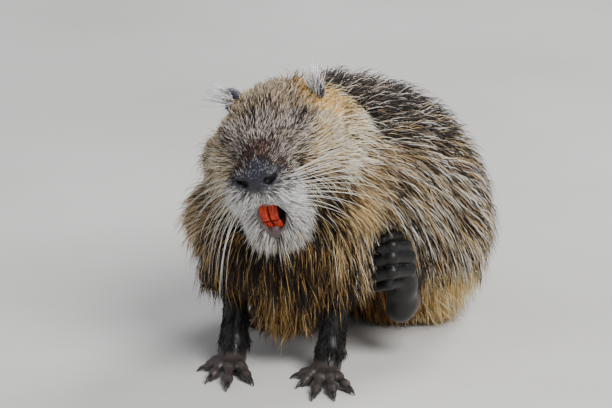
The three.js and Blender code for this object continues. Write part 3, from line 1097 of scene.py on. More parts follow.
@dataclass(frozen=True)
class Finish:
    """A procedural material: colours wandering over a surface, with bump and gloss.

    Attributes:
        colours: Colour codes from low to high noise; none takes the mesh's own tint.
        scale: Noise cells per metre.
        rough: Lowest and highest roughness.
        bump: Height of the bump in millimetres.
        bump_scale: Bump cells per metre.
        creases: Depth of the creases in millimetres, 0 for none.
        gloss: Strength of a clear top layer.
        shine: Strength of the plain reflection.
        stretch: How the noise is stretched along x, y and z.
    """

    name: str
    colours: tuple[str, ...]
    scale: float = 120.0
    rough: tuple[float, float] = (0.45, 0.7)
    bump: float = 0.2
    bump_scale: float = 700.0
    creases: float = 0.0
    gloss: float = 0.0
    shine: float = 0.5
    stretch: Place = (1.0, 1.0, 1.0)

    WET = 0.06
    DULL = 0.42

    def material(self) -> bpy.types.Material:
        """Builds the material once and returns it.

        Returns:
            The material.
        """
        found = bpy.data.materials.get(self.name)
        if found and found.get("finished"):
            return found
        made = bpy.data.materials.new(self.name)
        made["finished"] = True
        made.use_nodes = True
        tree = made.node_tree
        nodes, links = tree.nodes, tree.links
        shader = nodes["Principled BSDF"]
        where = nodes.new("ShaderNodeTexCoord")
        mapping = nodes.new("ShaderNodeMapping")
        mapping.inputs["Scale"].default_value = self.stretch
        links.new(where.outputs["Object"], mapping.inputs["Vector"])
        noise = self.noise(tree, mapping, self.scale, 5.0)
        links.new(self.colour(tree, noise), shader.inputs["Base Color"])
        rough = nodes.new("ShaderNodeMapRange")
        rough.inputs["To Min"].default_value, rough.inputs["To Max"].default_value = self.rough
        links.new(noise.outputs["Fac"], rough.inputs["Value"])
        links.new(rough.outputs["Result"], shader.inputs["Roughness"])
        links.new(self.relief(tree, mapping).outputs["Normal"], shader.inputs["Normal"])
        shader.inputs["Specular IOR Level"].default_value = self.shine
        shader.inputs["Coat Weight"].default_value = self.gloss
        shader.inputs["Coat Roughness"].default_value = self.WET if self.gloss > 0.5 else self.DULL
        return made

    def colour(self, tree: Tree, noise: Node) -> Socket:
        """Adds the colour: this finish's own colours, or the mesh's tint where it has none.

        Args:
            tree: The material's nodes and links.
            noise: What the colour wanders with.

        Returns:
            The colour's socket.
        """
        nodes, links = tree.nodes, tree.links
        if self.colours:
            ramp = nodes.new("ShaderNodeValToRGB")
            stops = np.linspace(0.32, 0.68, len(self.colours))
            ramp.color_ramp.elements[0].position = stops[0]
            ramp.color_ramp.elements[1].position = stops[-1]
            for stop in stops[1:-1]:
                ramp.color_ramp.elements.new(stop)
            for element, code in zip(ramp.color_ramp.elements, self.colours):
                element.color = (*linear(code), 1.0)
            links.new(noise.outputs["Fac"], ramp.inputs["Fac"])
            return ramp.outputs["Color"]
        tint = nodes.new("ShaderNodeAttribute")
        tint.attribute_name = "tint"
        vary = nodes.new("ShaderNodeHueSaturation")
        shade = nodes.new("ShaderNodeMapRange")
        shade.inputs["To Min"].default_value = 0.8
        shade.inputs["To Max"].default_value = 1.2
        links.new(noise.outputs["Fac"], shade.inputs["Value"])
        links.new(shade.outputs["Result"], vary.inputs["Value"])
        links.new(tint.outputs["Color"], vary.inputs["Color"])
        return vary.outputs["Color"]

    def relief(self, tree: Tree, mapping: Node) -> Node:
        """Adds the fine bump and, where there are any, the creases.

        Args:
            tree: The material's nodes and links.
            mapping: Where it takes its place from.

        Returns:
            The last bump node.
        """
        nodes, links = tree.nodes, tree.links
        fine = self.noise(tree, mapping, self.bump_scale, 3.0)
        bump = nodes.new("ShaderNodeBump")
        bump.inputs["Distance"].default_value = self.bump * METRES
        links.new(fine.outputs["Fac"], bump.inputs["Height"])
        if not self.creases:
            return bump
        cells = nodes.new("ShaderNodeTexVoronoi")
        cells.feature = "DISTANCE_TO_EDGE"
        cells.inputs["Scale"].default_value = self.bump_scale * 0.6
        links.new(mapping.outputs["Vector"], cells.inputs["Vector"])
        edge = nodes.new("ShaderNodeMapRange")
        edge.inputs["From Max"].default_value = 0.12
        links.new(cells.outputs["Distance"], edge.inputs["Value"])
        folds = nodes.new("ShaderNodeBump")
        folds.inputs["Distance"].default_value = self.creases * METRES
        links.new(edge.outputs["Result"], folds.inputs["Height"])
        links.new(bump.outputs["Normal"], folds.inputs["Normal"])
        return folds

    def noise(self, tree: Tree, mapping: Node, scale: float, detail: float) -> Node:
        """Adds a noise texture.

        Args:
            tree: The material's nodes and links.
            mapping: Where it takes its place from.
            scale: Cells per metre.
            detail: How many finer layers it has.

        Returns:
            The node.
        """
        noise = tree.nodes.new("ShaderNodeTexNoise")
        noise.inputs["Scale"].default_value = scale
        noise.inputs["Detail"].default_value = detail
        tree.links.new(mapping.outputs["Vector"], noise.inputs["Vector"])
        return noise

    def dress(self, piece: Piece) -> None:
        """Gives a piece this finish."""
        piece.data.materials.clear()
        piece.data.materials.append(self.material())


SKIN_FINISH = Finish("bare_hide", (), 260.0, (0.3, 0.46), 0.16, 1100.0, creases=0.14, gloss=0.45, shine=0.2)
FUR_FINISH = Finish("fur", (), 420.0, (0.5, 0.7), 0.1, 1800.0, shine=0.35)
WHISKER_FINISH = Finish("whisker_bristle", ("d9d6cd", "f4f2ec"), 90.0, (0.3, 0.45), 0.02, 2500.0)
ENAMEL_FINISH = Finish(
    "orange_enamel", ("641000", "a82200", "d64400"), 260.0, (0.16, 0.34), 0.12, 900.0,
    gloss=0.3, shine=0.2, stretch=(3.0, 3.0, 0.5),
)
CORNEA_FINISH = Finish("dark_eye", ("0a0605", "1d100a"), 500.0, (0.04, 0.08), 0.0, 900.0, gloss=1.0)
CLAW_FINISH = Finish(
    "claw_horn", ("0f0c0b", "1e1815", "3a302a"), 320.0, (0.28, 0.5), 0.12, 1400.0,
    gloss=0.2, stretch=(1.0, 0.4, 1.0),
)
FLOOR_FINISH = Finish("pale_floor", ("c9c7c2", "d8d6d2"), 3.0, (0.75, 0.9), 0.05, 120.0)


# ---- markings


@dataclass(frozen=True)
class Lock:
    """One kind of tuft in a zone: its share of the tufts, and its colour codes at root and tip.

    Attributes:
        reach: Its length as a share of the zone's.
        stout: Its width as a share of the zone's.
    """

    share: float
    root: str
    tip: str
    reach: float = 1.0
    stout: float = 1.0


@dataclass(frozen=True)
class Fur:
    """The coat of one zone.

    Attributes:
        length: Length of a tuft in millimetres.
        width: Its width at the root.
        lift: Degrees that it stands off the skin.
        droop: How far its tip bends down, as a share of its length.
        clump: How far neighbouring tips gather, 0 to 1.
        density: How close the tufts stand, compared with other zones.
        skin: Colour code of the skin.
    """

    length: float
    width: float
    lift: float
    droop: float
    clump: float
    density: float
    skin: str
    locks: tuple[Lock, ...]


def locks(*plans: tuple) -> tuple[Lock, ...]:
    """Gives a lock for each share, root, tip and, where they follow, reach and stoutness."""
    return tuple(Lock(*plan) for plan in plans)


class Zone(Enum):
    """The zones of the coat."""

    NOSE = Fur(
        2.5, 0.3, 30, 0, 0.1, 80, "24242e",
        locks((0.26, "3c3c48", "b4b8c6"), (0.74, "0c0b0e", "2b2930")),
    )
    BRIDGE = Fur(
        6, 0.5, 26, 0, 0.2, 95, "180e0a",
        locks((0.62, "120a07", "33201a"), (0.26, "22130d", "6b3d29"), (0.12, "6f625a", "b9ab9f")),
    )
    MUZZLE = Fur(
        11, 0.5, 34, 0.15, 0.3, 90, "7d7873",
        locks((0.46, "b4aea8", "ffffff"), (0.2, "d4d0ca", "ffffff", 1.2), (0.34, "2c2826", "928c84", 0.9)),
    )
    SNOUT = Fur(
        5, 0.42, 30, 0.1, 0.2, 95, "6d6864",
        locks((0.5, "b4aea8", "ffffff"), (0.2, "d4d0ca", "ffffff"), (0.3, "4a4541", "b4aea7", 0.8)),
    )
    CHIN = Fur(
        15, 0.6, 34, 0.35, 0.65, 75, "57514b",
        locks((0.44, "a39d95", "ffffff"), (0.2, "8d8175", "f2e6d4", 1.35), (0.36, "241f1b", "857a6e", 0.95)),
    )
    LIP = Fur(1.5, 0.4, 20, 0, 0, 2, "44262c", locks((1, "6f6a66", "c9c4bc")))
    BROW = Fur(
        8.5, 0.55, 28, 0, 0.3, 80, "2c2420",
        locks((0.3, "4a3d35", "a99a8d"), (0.34, "786a60", "e6dace", 1.05), (0.36, "15100e", "40352f", 0.85)),
    )
    CROWN = Fur(
        11.5, 0.6, 38, 0, 0.35, 70, "251c15",
        locks((0.3, "42342a", "9c8468"), (0.22, "6a5848", "e6d3b4", 1.1), (0.48, "0f0b08", "372b22", 0.85)),
    )
    GINGER = Fur(
        13, 0.6, 38, 0, 0.3, 62, "8a5f2c",
        locks((0.6, "c88830", "ffc462"), (0.34, "dca858", "ffe2a8", 1.1), (0.06, "3c2a1a", "8a673c")),
    )
    CHEEK = Fur(
        15, 0.56, 34, 0.1, 0.5, 56, "30251a",
        locks((0.33, "7a5e36", "dcbb80"), (0.3, "a88e68", "fff2da", 1.25), (0.37, "080604", "32261a", 0.85)),
    )
    RUFF = Fur(
        28, 0.75, 39, 0.2, 0.66, 36, "261c13",
        locks((0.35, "64503a", "b8976a"), (0.17, "8a7350", "ead9b4", 1.2), (0.47, "1a120b", "5a4630", 0.9)),
    )
    BREAST = Fur(
        25, 0.75, 32, 0.25, 0.62, 36, "160f0a",
        locks((0.17, "4a3823", "a9844f"), (0.06, "6f5a3a", "dcc08c", 1.15), (0.77, "0b0705", "2c2016", 0.9)),
    )
    # Pale blond coat on the left side only: partly the coat's own blond tips and partly painted light on the
    # side the light falls on.
    PALE_AND_LIT = Fur(
        22, 0.66, 34, 0.2, 0.62, 50, "8a6a3e",
        locks((0.42, "ecd09a", "fff8e8", 1.25), (0.32, "b88440", "ffdc9c"), (0.26, "0e0905", "3e2c1a", 0.9)),
    )
    # LID: short, near-black hair round both eyes: the lids' own dark rim, with painted shade along the closed
    # left eye's slit.
    LID = Fur(
        3.6, 0.42, 20, 0, 0, 150, "060403",
        locks((0.92, "060403", "1a1410"), (0.08, "3a2f28", "8a7a6c")),
    )
    RIDGE = Fur(
        27, 0.74, 38, 0.2, 0.58, 44, "5e4526",
        locks(
            (0.24, "d0a870", "f6deb0", 1.1), (0.38, "a07a46", "ecc88c", 1.1), (0.38, "1a120b", "6a4e2e", 0.9)
        ),
    )
    THROAT = Fur(
        20, 0.68, 36, 0.2, 0.55, 42, "140e0a",
        locks((0.13, "4a3923", "b98d4a"), (0.05, "6f5a38", "ecd39a", 1.15), (0.82, "060403", "1c140d", 0.9)),
    )
    CHEST = Fur(
        31, 0.9, 28, 0.25, 0.8, 34, "120c08",
        locks((0.12, "33261a", "80592f"), (0.07, "4d3a24", "cfa05a", 1.15), (0.81, "080504", "21170f", 0.95)),
    )
    FRINGE = Fur(
        29, 0.9, 24, 0.25, 0.85, 38, "1e140b",
        locks((0.34, "4c3620", "a67a40"), (0.18, "7a5c36", "e0bc7e", 1.15), (0.5, "100a06", "382616", 0.95)),
    )
    BACK = Fur(
        33, 0.88, 30, 0.15, 0.62, 32, "130f0d",
        locks((0.17, "3c332c", "857565"), (0.07, "6a5e52", "f4e8d6", 1.25), (0.76, "0a0706", "28201b", 0.95)),
    )
    FLANK = Fur(
        41, 1.05, 33, 0.25, 0.84, 31, "17110c",
        locks((0.26, "64503a", "d4b484"), (0.19, "8a7d6c", "fff6e8", 1.2), (0.55, "0a0706", "2c211a", 0.9)),
    )
    HAUNCH = Fur(
        37, 0.95, 36, 0.25, 0.66, 34, "c49450",
        locks((0.55, "d89c4c", "ffd488"), (0.33, "e6b870", "ffeec4", 1.15), (0.12, "4c3519", "94703e", 0.85)),
    )
    BELLY = Fur(
        24, 1.1, 22, 0.2, 0.5, 16, "3a2917",
        locks((0.6, "6a4b28", "b98545"), (0.4, "231a13", "5c452a")),
    )
    FORELEG = Fur(
        9, 0.75, 18, 0.1, 0.5, 60, "060505",
        locks((0.8, "060505", "15110f"), (0.2, "0e0b0a", "3d332a")),
    )
    HINDLEG = Fur(
        11, 0.8, 22, 0.1, 0.5, 45, "0d0a09",
        locks((0.6, "0d0a09", "2a211a"), (0.4, "2c221a", "86683f")),
    )
    PAW = Fur(2, 0.3, 8, 0, 0, 0, "3a322f", locks((1, "08070a", "1c191d")))
    TAIL = Fur(
        7, 0.4, 14, 0, 0, 44, "2c2522",
        locks((0.7, "1f1916", "5d5049"), (0.3, "5a4c42", "9c8a78")),
    )
    EAR = Fur(
        3.6, 0.36, 24, 0, 0.1, 80, "50525f",
        locks((0.6, "2c2a2c", "6e665f"), (0.3, "5d5a5c", "b4b0ac", 1.2), (0.1, "cfcac2", "ffffff", 2.4, 0.8)),
    )


@dataclass(frozen=True)
class Anchor:
    """A place where the coat is wholly of one zone, and how far that zone reaches."""

    zone: Zone
    place: Place
    weight: float


def anchors(zone: Zone, *spots: Spot) -> list[Anchor]:
    """Gives an anchor of one zone at each spot's place, as strong as its fourth number."""
    return [Anchor(zone, spot[:3], spot[3]) for spot in spots]


def pairs(zone: Zone, *spots: Spot) -> list[Anchor]:
    """Gives an anchor at each spot and one opposite it on the other side."""
    return anchors(zone, *(spot for x, *rest in spots for spot in ((x, *rest), (-x, *rest))))


SLIT_LINE = ((25, -49, 10), (28, -44, 13), (31, -39, 15.5), (32.4, -33, 17), (32.6, -27, 17.6))
HEAD_ANCHORS = (
    *anchors(Zone.NOSE, (0, -96, -12, 0.8), (0, -90, -4, 0.6)),
    *pairs(Zone.NOSE, (10, -92, -12, 0.7)),
    *pairs(Zone.BRIDGE, (14, -78, 0, 1.1)),
    *anchors(Zone.BRIDGE, (3, -74, 8, 1.1)),
    *pairs(Zone.MUZZLE, (16, -90, -28, 0.9), (24, -78, -36, 1.1), (20, -74, -52, 0.9)),
    *pairs(Zone.SNOUT, (6, -91, -33, 0.8)),
    *pairs(Zone.CHIN, (18, -64, -64, 1)),
    *anchors(Zone.CHIN, (0, -74, -74, 1.2)),
    *anchors(Zone.MUZZLE, (29, -62, -48, 0.5), (-29, -60, -48, 1)),
    *anchors(Zone.LIP, (0, -70, -44, 1), (2, -80, -58, 0.45), (8, -76, -52, 0.45)),
    *pairs(Zone.BROW, (20, -68, -4, 0.9), (24, -50, 12, 1.1), (34, -52, -8, 0.8)),
    *anchors(Zone.BROW, (0, -58, 20, 1.2)),
    *anchors(Zone.CROWN, (0, -28, 34, 1.2), (0, 4, 38, 1.2)),
    *pairs(Zone.CROWN, (20, -20, 30, 1), (36, -26, 16, 0.9)),
    *pairs(Zone.GINGER, (33, -10, 22, 0.6), (44, 8, 12, 1.1)),
    *anchors(Zone.GINGER, (48, 12, 14, 0.9), (40, -2, 9, 0.9)),
    *pairs(Zone.CHEEK, (36, -50, -22, 1), (44, -26, -4, 1.2)),
    *anchors(Zone.BREAST, (34, -46, -42, 1)),
    *anchors(Zone.RUFF, (-36, -42, -44, 0.8)),
    *anchors(Zone.CHEEK, (48, -14, -24, 0.6), (-48, -14, -24, 1.3)),
    # Pale coat on the left cheek, partly painted light on the lit side.
    *anchors(Zone.PALE_AND_LIT, (46, -18, -28, 0.8)),
    *anchors(Zone.MUZZLE, (35, -57, -16, 0.5)),
    *anchors(Zone.RUFF, (-60, 16, -20, 1.3)),
    *anchors(Zone.PALE_AND_LIT, (54, 8, -12, 1.1), (50, 2, -32, 0.9)),
    *anchors(Zone.LID, (-36, -46, 7, 0.55), (-33, -50, 10, 0.4)),
    # Dark lid hair along the closed slit: its own dark rim and painted shade in the crease.
    *anchors(Zone.LID, *((*place, 0.42) for place in SLIT_LINE)),
    *pairs(Zone.RUFF, (54, 6, -52, 1.2)),
    *anchors(Zone.THROAT, (0, -44, -80, 1)),
    *pairs(Zone.THROAT, (30, -30, -68, 1.2)),
)
BODY_ANCHORS = (
    *anchors(Zone.THROAT, (26, -26, 132, 1.2)),
    *anchors(Zone.CHEST, (-10, -34, 110, 1.2), (16, -26, 104, 1.1), (-36, -20, 90, 1.2), (34, -10, 84, 1)),
    *anchors(Zone.FRINGE, (2, -16, 72, 1.1), (4, -2, 52, 1.4)),
    *anchors(Zone.RUFF, (-70, 10, 130, 1.5), (-74, 26, 102, 0.7), (-66, 40, 170, 1.2)),
    *anchors(Zone.BREAST, (42, -8, 146, 0.9), (36, -10, 116, 1.1), (42, 2, 86, 1.1)),
    *anchors(Zone.CHEST, (-48, -6, 90, 1.2)),
    *anchors(Zone.BREAST, (-70, 10, 98, 0.8)),
    *anchors(Zone.RIDGE, (34, 22, 208, 0.8)),
    # Pale coat on the left shoulder, partly painted light on the lit side.
    *anchors(Zone.PALE_AND_LIT, (46, 20, 180, 0.8)),
    *anchors(Zone.RIDGE, (52, 16, 146, 0.8), (44, 10, 116, 0.35)),
    *anchors(Zone.FLANK, (62, 44, 150, 0.9), (56, 38, 112, 0.9)),
    *anchors(
        Zone.BACK,
        (46, 48, 202, 1), (0, 50, 230, 1.3), (6, 90, 222, 1.7), (50, 80, 205, 1.3), (12, 140, 200, 1.7),
        (14, 200, 150, 1.5), (14, 240, 90, 1.2),
    ),
    *anchors(
        Zone.FLANK,
        (84, 80, 150, 1.4), (92, 130, 120, 1.5), (84, 190, 100, 1.4), (-78, 90, 150, 1.5),
        (-72, 140, 120, 1.5), (-60, 200, 100, 1.4),
    ),
    *anchors(Zone.HAUNCH, (80, 170, 34, 1.4), (78, 130, 44, 1.1), (50, 230, 34, 1.2), (-50, 200, 34, 1.4)),
    *anchors(Zone.BELLY, (10, 80, 56, 1.4), (10, 120, 30, 1.4)),
    *anchors(Zone.FORELEG, (-43, 8, 50, 1.1), (-41, 2, 24, 1), (38, 22, 50, 1.1), (38, 15, 24, 1)),
    *anchors(Zone.HINDLEG, (-62, 178, 24, 1), (77, 96, 60, 0.9), (-60, 140, 32, 0.8)),
)


class Markings:
    """Knows the zone, colour and bareness of every place on the animal."""

    SOFTNESS = 5.0

    def __init__(self) -> None:
        """Gathers all anchors in the model's frame."""
        tail = [Anchor(Zone.TAIL, place, 1.5) for place in smooth_line(np.array(BONES.tail), 26)[3:]]
        anchors = [*HEAD_ANCHORS, *BODY_ANCHORS, *tail]
        on_head = np.array([a.place for a in HEAD_ANCHORS])
        rest = np.array([a.place for a in anchors[len(HEAD_ANCHORS) :]])
        self.places = np.concatenate([HeadPose.out(on_head), rest])
        self.reaches = np.array([a.weight for a in anchors])
        self.zones = list(Zone)
        self.owner = np.array([self.zones.index(a.zone) for a in anchors])

    def shares(self, points: Rows) -> Rows:
        """Gives each zone's share at each point.

        Args:
            points: Places in millimetres.

        Returns:
            One row for each point and one column for each zone.
        """
        total = np.zeros((len(points), len(self.zones)))
        strayed = points + 3.0 * wander(points, 38.0, 1, 2, 3)
        for place, reach, owner in zip(self.places, self.reaches, self.owner):
            away = np.linalg.norm(strayed - place, axis=1) / reach
            total[:, owner] += 1.0 / (away + 2.0) ** self.SOFTNESS
        self.add_bare_parts(points, total)
        return total / total.sum(axis=1, keepdims=True)

    def add_bare_parts(self, points: Rows, total: Rows) -> None:
        """Lets feet and ears overrule the anchors.

        Args:
            points: Places in millimetres.
            total: The zones' weights, changed in place.
        """
        paw = np.full(len(points), FAR)
        above_wrist = np.clip((points[:, 2] - 14.0) * 0.6, 0.0, 40.0)
        for foot in FEET:
            paw = np.minimum(paw, foot.shape().distance(points) + above_wrist)
        above_heel = np.clip((60.0 - points[:, 2]) * 0.25, 0.0, 9.0) * (points[:, 1] > 72)
        paw = np.minimum(paw, FIST.shape().distance(points) + above_heel)
        bare = smooth_step(-paw, -2.2, -0.6)
        ears = HeadFlesh().ears().distance(HeadPose.into(points))
        on_ear = smooth_step(-ears, -1.4, -0.4)
        for share, zone in ((bare, Zone.PAW), (on_ear, Zone.EAR)):
            column = self.zones.index(zone)
            sums = total.sum(axis=1)
            total *= (1.0 - share)[:, None]
            total[:, column] += share * sums

    def mixed(self, shares: Rows, name: str) -> Rows:
        """Mixes one number of the zones' coats."""
        return shares @ np.array([getattr(zone.value, name) for zone in self.zones], dtype=float)

    def skin_tint(self, points: Rows, shares: Rows) -> Rows:
        """Gives the skin's colour, with painted shade in the clefts between the lifted foot's toes.

        Args:
            points: Places in millimetres.
            shares: The zones' shares.

        Returns:
            One colour for each point.
        """
        colours = np.array([linear(zone.value.skin) for zone in self.zones])
        shade = 1.0 + 0.16 * wave_noise(points, 24.0, 5)
        paw = shares[:, self.zones.index(Zone.PAW)]
        shade *= 1.0 - 0.92 * paw * smooth_step(points[:, 2], 18.0, 40.0)
        # Painted shade: the skin goes nearly black where two toes of the lifted foot meet, in the clefts
        # between them.
        toes = np.sort(np.stack([toe.distance(points) for toe in FIST.fingers()]), axis=0)
        shade *= 0.12 + 0.88 * smooth_step(toes[1], 0.4, 3.2)
        return np.clip(shares @ colours * shade[:, None], 0.0, 1.0)


# ---- coat


def lie_of_coat(points: Rows, normals: Rows, shares: Rows, zones: list[Zone]) -> Rows:
    """Gives the direction in which the coat lies.

    Args:
        points: Places in millimetres.
        normals: Outward directions there.
        shares: The zones' shares.
        zones: The zones, in the order of the shares.

    Returns:
        Unit vectors along the skin.
    """
    at = HeadPose.into(points)
    turn = HeadPose.matrix()[:3, :3]
    from_nose = unit(at - [0.0, -98.0, -16.0])
    from_mouth = unit(at - [1.0, -84.0, -48.0])
    low = smooth_step(-at[:, 2], 16.0, 44.0) * smooth_step(-at[:, 1], 48.0, 66.0)
    on_head = blend(from_nose, from_mouth, low)
    on_head = on_head + np.array([0.0, 0.55, 0.0]) * smooth_step(at[:, 1], -70.0, -20.0)[:, None]
    head = on_head @ turn.T
    head[:, 2] -= 0.5 * smooth_step(-at[:, 2], 0.0, 50.0)
    side = np.sign(points[:, 0] - 8.0)
    down = np.clip(0.9 - normals[:, 2] * 0.9, 0.0, 1.6) * smooth_step(220.0 - points[:, 2], 0.0, 110.0)
    body = np.stack([0.12 * side, np.full(len(points), 0.75), -0.12 - down], axis=1)
    front = smooth_step(60.0 - points[:, 1], 0.0, 70.0)
    chest = np.stack([0.14 * side, np.full(len(points), -0.08), np.full(len(points), -1.0)], axis=1)
    body = blend(body, chest, front)
    rear = smooth_step(points[:, 1], 190.0, 240.0)
    body = body + np.array([0.0, -0.3, -0.7]) * rear[:, None]
    near_head = smooth_step(30.0 - at[:, 1], 0.0, 34.0) * smooth_step(at[:, 2], -92.0, -66.0)
    flow = blend(unit(body), unit(head), near_head)
    legs = shares[:, [zones.index(z) for z in (Zone.FORELEG, Zone.HINDLEG, Zone.PAW)]].sum(axis=1)
    flow = blend(flow, np.array([0.0, -0.25, -1.0]), legs)
    on_tail = shares[:, zones.index(Zone.TAIL)] > 0.3
    line = smooth_line(np.array(BONES.tail), 40)
    ahead = unit(np.gradient(line, axis=0))
    nearest = np.array([np.argmin(((line - p) ** 2).sum(axis=1)) for p in points[on_tail]], dtype=int)
    flow[on_tail] = ahead[nearest]
    flow = flow + 0.16 * wander(points, 46.0, 11, 12, 13)
    flow = flow - normals * (flow * normals).sum(axis=1, keepdims=True)
    return unit(flow)


@dataclass
class Tufts:
    """Tufts that grow from places on the skin, with one row or number for each tuft.

    Attributes:
        lies: Directions in which they lie.
        lifts: Angles off the skin, in radians.
        patches: Each root's place on the unwrap.
        rings: How many rings a tuft has below its tip.
    """

    roots: Rows
    normals: Rows
    lies: Rows
    lengths: Rows
    widths: Rows
    lifts: Rows
    droops: Rows
    clumps: Rows
    root_tints: Rows
    tip_tints: Rows
    patches: Rows
    rings: int

    PATCH = 0.003
    CLUMPS = ((12, 1.0), (72, 0.45))
    FLOOR = 0.5
    SINK = 0.6
    RISE = 1.3
    CURL = 0.42
    SWAY = 0.1
    FLATNESS = 0.8
    TAPER = 0.62
    FADE = 0.75
    CORNER_ANGLES = (-0.45, math.pi + 0.45, math.pi / 2.0)

    def paths(self, rng: Dice) -> Rows:
        """Works out each tuft's line from root to tip.

        Args:
            rng: The source of randomness.

        Returns:
            Places: tufts by points along them by three.
        """
        shares = np.linspace(0.0, 1.0, self.rings + 1)
        rise = np.sin(self.lifts)[:, None] * (shares - self.CURL * shares**2) * self.RISE
        run = np.cos(self.lifts)[:, None] * shares
        sway = np.cross(self.normals, self.lies) * rng.normal(0.0, self.SWAY, (len(self.roots), 1))
        lines = self.roots[:, None, :] - self.normals[:, None, :] * self.SINK
        lines = lines + self.lengths[:, None, None] * (
            self.normals[:, None, :] * rise[:, :, None]
            + self.lies[:, None, :] * run[:, :, None]
            + sway[:, None, :] * (shares**1.5)[None, :, None]
        )
        lines[:, :, 2] -= self.droops[:, None] * self.lengths[:, None] * shares**2
        return self.gathered(lines, shares, rng)

    def gathered(self, lines: Rows, shares: Rows, rng: Dice) -> Rows:
        """Draws neighbouring tips together, in small clumps and then in large ones.

        Args:
            lines: The tufts' lines.
            shares: Each point's share of the way to the tip.
            rng: The source of randomness.

        Returns:
            The lines with their tips gathered.
        """
        for group, strength in self.CLUMPS:
            leaders = rng.choice(len(lines), max(1, len(lines) // group), replace=False)
            tree = kdtree.KDTree(len(leaders))
            for number, leader in enumerate(leaders):
                tree.insert(self.roots[leader], number)
            tree.balance()
            chosen = leaders[np.array([tree.find(root)[1] for root in self.roots])]
            pull = self.clumps * strength * rng.uniform(0.4, 1.0, len(lines))
            weight = pull[:, None] * (shares**1.5)[None, :]
            lines = lines + (lines[chosen] - lines) * weight[:, :, None]
        return lines

    def piece(self, name: str, rng: Dice) -> Piece:
        """Builds the tufts as one mesh of closed, three-sided, tapered locks.

        Args:
            name: The piece's name.
            rng: The source of randomness.

        Returns:
            The object.
        """
        lines = self.paths(rng)
        lines[:, :, 2] = np.maximum(lines[:, :, 2], self.FLOOR)
        count = len(lines)
        shares = np.linspace(0.0, 1.0, self.rings + 1)
        ahead = unit(np.gradient(lines, axis=1))
        across = unit(np.cross(ahead, self.normals[:, None, :]) + NUDGE)
        above = np.cross(across, ahead)
        radii = self.widths[:, None] * 0.5 * (1.0 - shares[:-1] ** 2.2 * self.TAPER)
        ring = []
        for angle in self.CORNER_ANGLES:
            offset = across * math.cos(angle) + above * math.sin(angle) * self.FLATNESS
            ring.append(lines[:, :-1] + offset[:, :-1] * radii[:, :, None])
        body = np.stack(ring, axis=2).reshape(count, -1, 3)
        places = np.concatenate([body, lines[:, -1:]], axis=1)
        stops = np.concatenate([np.repeat(shares[:-1], 3), [1.0]])
        mix = smooth_step(stops, 0.0, self.FADE)[None, :, None]
        tints = self.root_tints[:, None, :] * (1.0 - mix) + self.tip_tints[:, None, :] * mix
        faces, flat = self.template()
        corners, starts = flatten(faces)
        tuft = np.arange(count)[:, None]
        patches = self.patches[:, None, :] + (flat[None, :, :] - 0.5) * self.PATCH
        return make_mesh(
            name,
            places.reshape(-1, 3),
            (corners[None, :] + tuft * places.shape[1]).ravel(),
            (starts[None, :] + tuft * len(corners)).ravel(),
            tints.reshape(-1, 3),
            patches.reshape(-1, 2),
        )

    def template(self) -> tuple[list[list[int]], Rows]:
        """Gives one tuft's faces and their places on its patch.

        Returns:
            Vertex numbers of each face, and a place from 0 to 1 for each corner.
        """
        faces = []
        flat = []
        tip = self.rings * 3
        for ring in range(self.rings):
            low, high = ring / self.rings, (ring + 1) / self.rings
            for side in range(3):
                a, b = ring * 3 + side, ring * 3 + (side + 1) % 3
                left, right = side / 3.0, (side + 1) / 3.0
                if ring < self.rings - 1:
                    faces.append([a, b, b + 3, a + 3])
                    flat += [[left, low], [right, low], [right, high], [left, high]]
                else:
                    faces.append([a, b, tip])
                    flat += [[left, low], [right, low], [(left + right) / 2.0, high]]
        faces.append([2, 1, 0])
        flat += [[1.0, 0.0], [0.5, 0.1], [0.0, 0.0]]
        return faces, np.array(flat)


# ---- sub-assemblies


